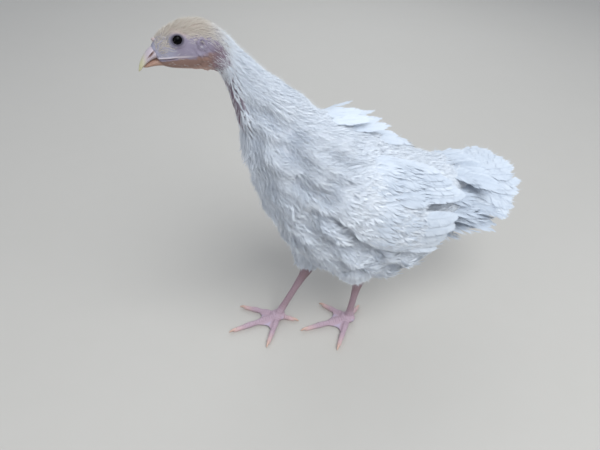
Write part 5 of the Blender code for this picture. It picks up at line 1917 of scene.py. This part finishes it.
def tail_coverts(row, tier, rng):
    """One row of coverts over or under the fan's root, spread to both sides."""
    count = tier.count
    share = np.linspace(-1.0, 1.0, count) + rng.normal(0, 0.04, count)
    heading, pitch = np.radians(tier.spread * share), math.radians(tier.pitch)
    level_aim = np.stack([np.cos(heading), np.sin(heading), np.zeros(count)], axis=1)
    aim = level_aim * math.cos(pitch) + UP * math.sin(pitch)
    up = np.array((0.0, -math.sin(FAN_ROLL), 1.0))
    up = unit(up - aim * (aim @ up)[:, None])
    length = tier.length * rng.uniform(0.85, 1.02, count)
    level = 0.8 * (np.arange(count) % 2) + 2.4 * (1 - np.abs(share))
    root = np.stack([np.full(count, tier.x), tier.half_y * share, np.full(count, tier.z)], axis=1)
    places = np.stack([np.linspace(0.1, 0.9, count), np.full(count, 0.1 + 0.09 * row)], axis=1)
    return straight_feathers(
        tier.kind, root, aim, up, length, level, COVERT_DROOP, rng.normal(0.1, 0.15, (count, 1)),
        tier.width / 2, places, rng.uniform(0, 1, count),
    )


tail_rng = np.random.default_rng(61)
make_piece("tail_fan", fan_feathers(tail_rng), VANE_TINT_AND_SHADE, "plumage", "tail")
covert_rows = [tail_coverts(row, tier, tail_rng) for row, tier in enumerate(TAIL_COVERTS)]
make_piece("tail_coverts", joined(covert_rows), VANE_TINT_AND_SHADE, "plumage")

# %% [markdown]
# On this young bird some feathers stand up from the back and round the vent. They are
# longer and looser than their neighbours and break the smooth outline.

# %% Ruffled feathers
Ruffle = namedtuple("Ruffle", "x side_from side_to count length width lift sweep turn kind")
RUFFLES = [
    Ruffle(-48.0, -4.0, 30.0, 5, 44.0, 11.0, 32.0, 0.0, 0.55, "blade"),
    Ruffle(-24.0, -4.0, 32.0, 6, 42.0, 10.0, 30.0, 0.0, 0.55, "blade"),
    Ruffle(8.0, -4.0, 12.0, 3, 32.0, 9.0, 19.0, 0.0, 1.0, "blade"),
    Ruffle(30.0, 16.0, 34.0, 3, 36.0, 10.0, 15.0, 0.0, 0.8, "blade"),
    Ruffle(98.0, -14.0, 36.0, 8, 52.0, 6.0, 24.0, -6.0, 0.2, "downy"),
    Ruffle(-12.0, -158.0, -202.0, 7, 22.0, 11.0, 24.0, 50.0, 0.0, "downy"),
    Ruffle(8.0, -156.0, -204.0, 9, 24.0, 11.0, 26.0, 50.0, 0.0, "downy"),
    Ruffle(28.0, -150.0, -210.0, 11, 26.0, 12.0, 20.0, 40.0, 0.0, "downy"),
    Ruffle(46.0, -140.0, -220.0, 16, 30.0, 13.0, 13.0, 30.0, 0.0, "downy"),
    Ruffle(70.0, -126.0, -234.0, 18, 30.0, 13.0, 13.0, 20.0, 0.0, "downy"),
]
MIDDLE_HEIGHT = 178.0
BURIED = 10.0  # how much of a ruffled feather stays in the coat
RUFFLE_DROOP = 6.0


def body_at(x, side_angle):
    """The body's u and a where a ray from its middle line leaves it, at one x."""
    some_u, some_a = np.linspace(NECK_END, BODY_LENGTH, 160), np.linspace(-math.pi, math.pi, 180)
    u, a = np.meshgrid(some_u, some_a, indexing="ij")
    p = body_point(u, a)
    angle = np.arctan2(p[..., 1], p[..., 2] - MIDDLE_HEIGHT)
    miss = ((p[..., 0] - x) / 40.0) ** 2 + (1 - np.cos(angle - side_angle))
    best = np.unravel_index(np.argmin(miss), miss.shape)
    return u[best], a[best]


def ruffled(ruffle, rng):
    """One row of feathers that stand up from the body and droop at their tips."""
    count = ruffle.count
    side_angles = np.radians(np.linspace(ruffle.side_from, ruffle.side_to, count))
    u, a = np.array([body_at(ruffle.x, angle) for angle in side_angles]).T
    out = directions(body_point, u, a)[2]
    sweep = math.radians(ruffle.sweep)
    lie = np.array((math.cos(sweep), 0.0, -math.sin(sweep)))
    lie = unit(lie - out * (out @ lie)[:, None])
    lift = np.radians(ruffle.lift + 5.0 * (np.arange(count) % 2))[:, None]
    aim, up = lie * np.cos(lift) + out * np.sin(lift), out * np.cos(lift) - lie * np.sin(lift)
    length = ruffle.length * (1.0 - 0.12 * (np.arange(count) % 3))
    root = body_point(u, a) - aim * BURIED
    return straight_feathers(
        ruffle.kind, root, aim, up, length + BURIED, 0.0, RUFFLE_DROOP,
        rng.normal(ruffle.turn, 0.15, (count, 1)), ruffle.width / 2, body_places(u, a),
        rng.uniform(0, 0.5, count),
    )


ruffle_rng = np.random.default_rng(71)
ruffled_rows = [ruffled(ruffle, ruffle_rng) for ruffle in RUFFLES]
make_piece("feathers_ruffled", joined(ruffled_rows), VANE_TINT_AND_SHADE, "plumage")

# %% [markdown]
# The head is nearly bare. Its crown still has hair-like down, cream to tan, and thin
# bristles stand on the face, round the ear and down the front of the neck. Each hair is
# one tapering strip of three triangles, laid by the same function as the feathers. A mask
# for each kind says how likely a hair is at a place.

# %% Where hairs grow
LID_CLEAR = (5.2, 6.4)  # from the middle of the eye: no hair yet, and all hairs


def clear_of_eye(u, a):
    """0 on the eye and its lids, 1 outside them."""
    p = body_point(u, a)
    beside = (np.abs(p[:, 1:2]) - 12.0) * (0, 1, 0)
    away = np.linalg.norm((p - EYE_CENTRE) * (1, 0, 1) + beside, axis=1)
    before_eye = ramp(EYE_CENTRE[0] - p[:, 0], -2.0, 4.0)
    above_eye = ramp(p[:, 2] - EYE_CENTRE[2], 1.0, 4.0)
    none = LID_CLEAR[0] + 1.2 * before_eye - 0.5 * above_eye
    return ramp(away, none, LID_CLEAR[1] + 2.0 * before_eye - 0.6 * above_eye)


def on_crown(u, a):
    front = 0.25 * (1.0 - ramp(u, 8.0, 20.0))
    on_top = 1.0 - ramp(np.abs(a) - front, 0.85, 1.35)
    return clear_of_eye(u, a) * on_top * (1 - ramp(u, HEAD_END - 4, HEAD_END + 12))


def on_face(u, a):
    thicker_behind = 0.06 + 0.12 * ramp(u, 30.0, 48.0) + 0.8 * ramp(u, 50.0, 62.0)
    return clear_of_eye(u, a) * ramp(np.abs(a), 0.9, 1.4) * thicker_behind


def on_throat(u, a):
    return throat_strip(u, a) * 0.9


print("hairs keep", LID_CLEAR[0], "mm from the middle of the eye")


# %% Crown down and bristles
Hairs = namedtuple("Hairs", "count seed where length width lift turn tan until twist")
HAIRS = {
    "crown_down": Hairs(
        4400, 81, on_crown, (4.0, 8.0), 0.12, (0.2, 2.0), 0.1, 0.85, HEAD_END + 12.0, 0.8
    ),
    "face_bristles": Hairs(
        1700, 82, on_face, (2.5, 5.5), 0.10, (0.1, 0.8), 0.2, 0.25, HEAD_END + 12.0, 0.4
    ),
    "throat_bristles": Hairs(
        480, 83, on_throat, (5.0, 9.0), 0.15, (0.4, 2.2), -0.35, 0.0, NECK_END - 8.0, 0.5
    ),
}


def hairs(name, kind):
    """Hairs rooted in the bare skin where their mask allows."""
    rng = np.random.default_rng(kind.seed)
    tries = kind.count * 8
    u, a = rng.uniform(1.0, kind.until, tries), rng.uniform(-math.pi, math.pi, tries)
    chosen = np.flatnonzero(rng.uniform(0, 1, tries) < kind.where(u, a))[:kind.count]
    u, a = u[chosen], a[chosen]
    n = len(u)
    size = rng.uniform(*kind.length, n)
    heading = kind.turn * np.sign(a) + rng.normal(0, 0.35, n)
    width = rng.uniform(0.8, 1.2, n) * kind.width
    lift = rng.uniform(*kind.lift, n)
    tan = kind.tan * (1.0 - 0.8 * ramp(u, HEAD_END - 24, HEAD_END))
    shape = coat(
        "hair", body_point, u, a, heading, size, width, coat_depth(u, a) + 0.2, lift,
        body_places(u, a), rng, twist=kind.twist, steps=4, tan=tan,
    )
    make_piece(name, shape, DOWN, "plumage")


for name, kind in HAIRS.items():
    hairs(name, kind)

# %% [markdown]
# A plain pale floor and broad, soft light show the white bird best. The main lamp stands
# high behind the camera and a little to its right, like a window, and leaves faint shadows
# between the tufts. A weak one fills from the bird's head, another behind the bird gives
# its back an edge, and the world adds an even, slightly blue glow.

# %% Floor and light
FLOOR_HALF = 6.0
FLOOR_TONES = rgb(194, 189, 182), rgb(188, 183, 175)
LAMP_TARGET = Vector((0.0, 0.0, 0.2))
Lamp = namedtuple("Lamp", "place size watts colour")
LAMPS = {
    "window": Lamp((0.12, -0.95, 1.65), 1.4, 27.0, (0.93, 0.975, 1.0)),
    "fill": Lamp((-1.3, -0.6, 0.9), 1.4, 3.0, (0.95, 0.98, 1.0)),
    "rim": Lamp((0.5, 1.1, 1.0), 1.2, 5.0, (0.92, 0.97, 1.0)),
}
GLOW_COLOUR, GLOW_STRENGTH = (0.82, 0.89, 1.0, 1.0), 0.52


def make_floor():
    mesh = bpy.data.meshes.new("floor")
    corners = [(FLOOR_HALF * x, FLOOR_HALF * y, 0) for x, y in ((-1, -1), (1, -1), (1, 1), (-1, 1))]
    mesh.from_pydata(corners, [], [(0, 1, 2, 3)])
    floor = bpy.data.objects.new("floor", mesh)
    bpy.context.scene.collection.objects.link(floor)
    finish = Finish("floor", FLOOR_TONES[0], 0.7)
    finish.over(finish.mottle(6.0), FLOOR_TONES[1], 0.25)
    floor.data.materials.append(finish.done())
    floor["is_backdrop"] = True


def soft_lamp(name, lamp):
    light = bpy.data.lights.new(name, "AREA")
    light.shape = "DISK"
    light.size, light.energy, light.color = lamp.size, lamp.watts, lamp.colour
    thing = bpy.data.objects.new(name, light)
    thing.location = lamp.place
    thing.rotation_euler = (LAMP_TARGET - Vector(lamp.place)).to_track_quat("-Z", "Y").to_euler()
    bpy.context.scene.collection.objects.link(thing)


make_floor()
for name, lamp in LAMPS.items():
    soft_lamp(name, lamp)
world = bpy.data.worlds.new("studio")
world.use_nodes = True
glow = world.node_tree.nodes["Background"]
glow.inputs["Color"].default_value = GLOW_COLOUR
glow.inputs["Strength"].default_value = GLOW_STRENGTH
bpy.context.scene.world = world
bpy.context.scene.view_settings.view_transform = "Standard"
print("lamps:", ", ".join(LAMPS))

# %% [markdown]
# The dressed bird has to stay within the solids' own box and a small margin. The box of
# all that is visible is measured once more and kept beside the solids' box.

# %% Measure
visual_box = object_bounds()
boxes = {"cad": [list(corner) for corner in cad_box], "visual": [list(corner) for corner in visual_box]}
print("solids", boxes["cad"], "dressed", boxes["visual"])
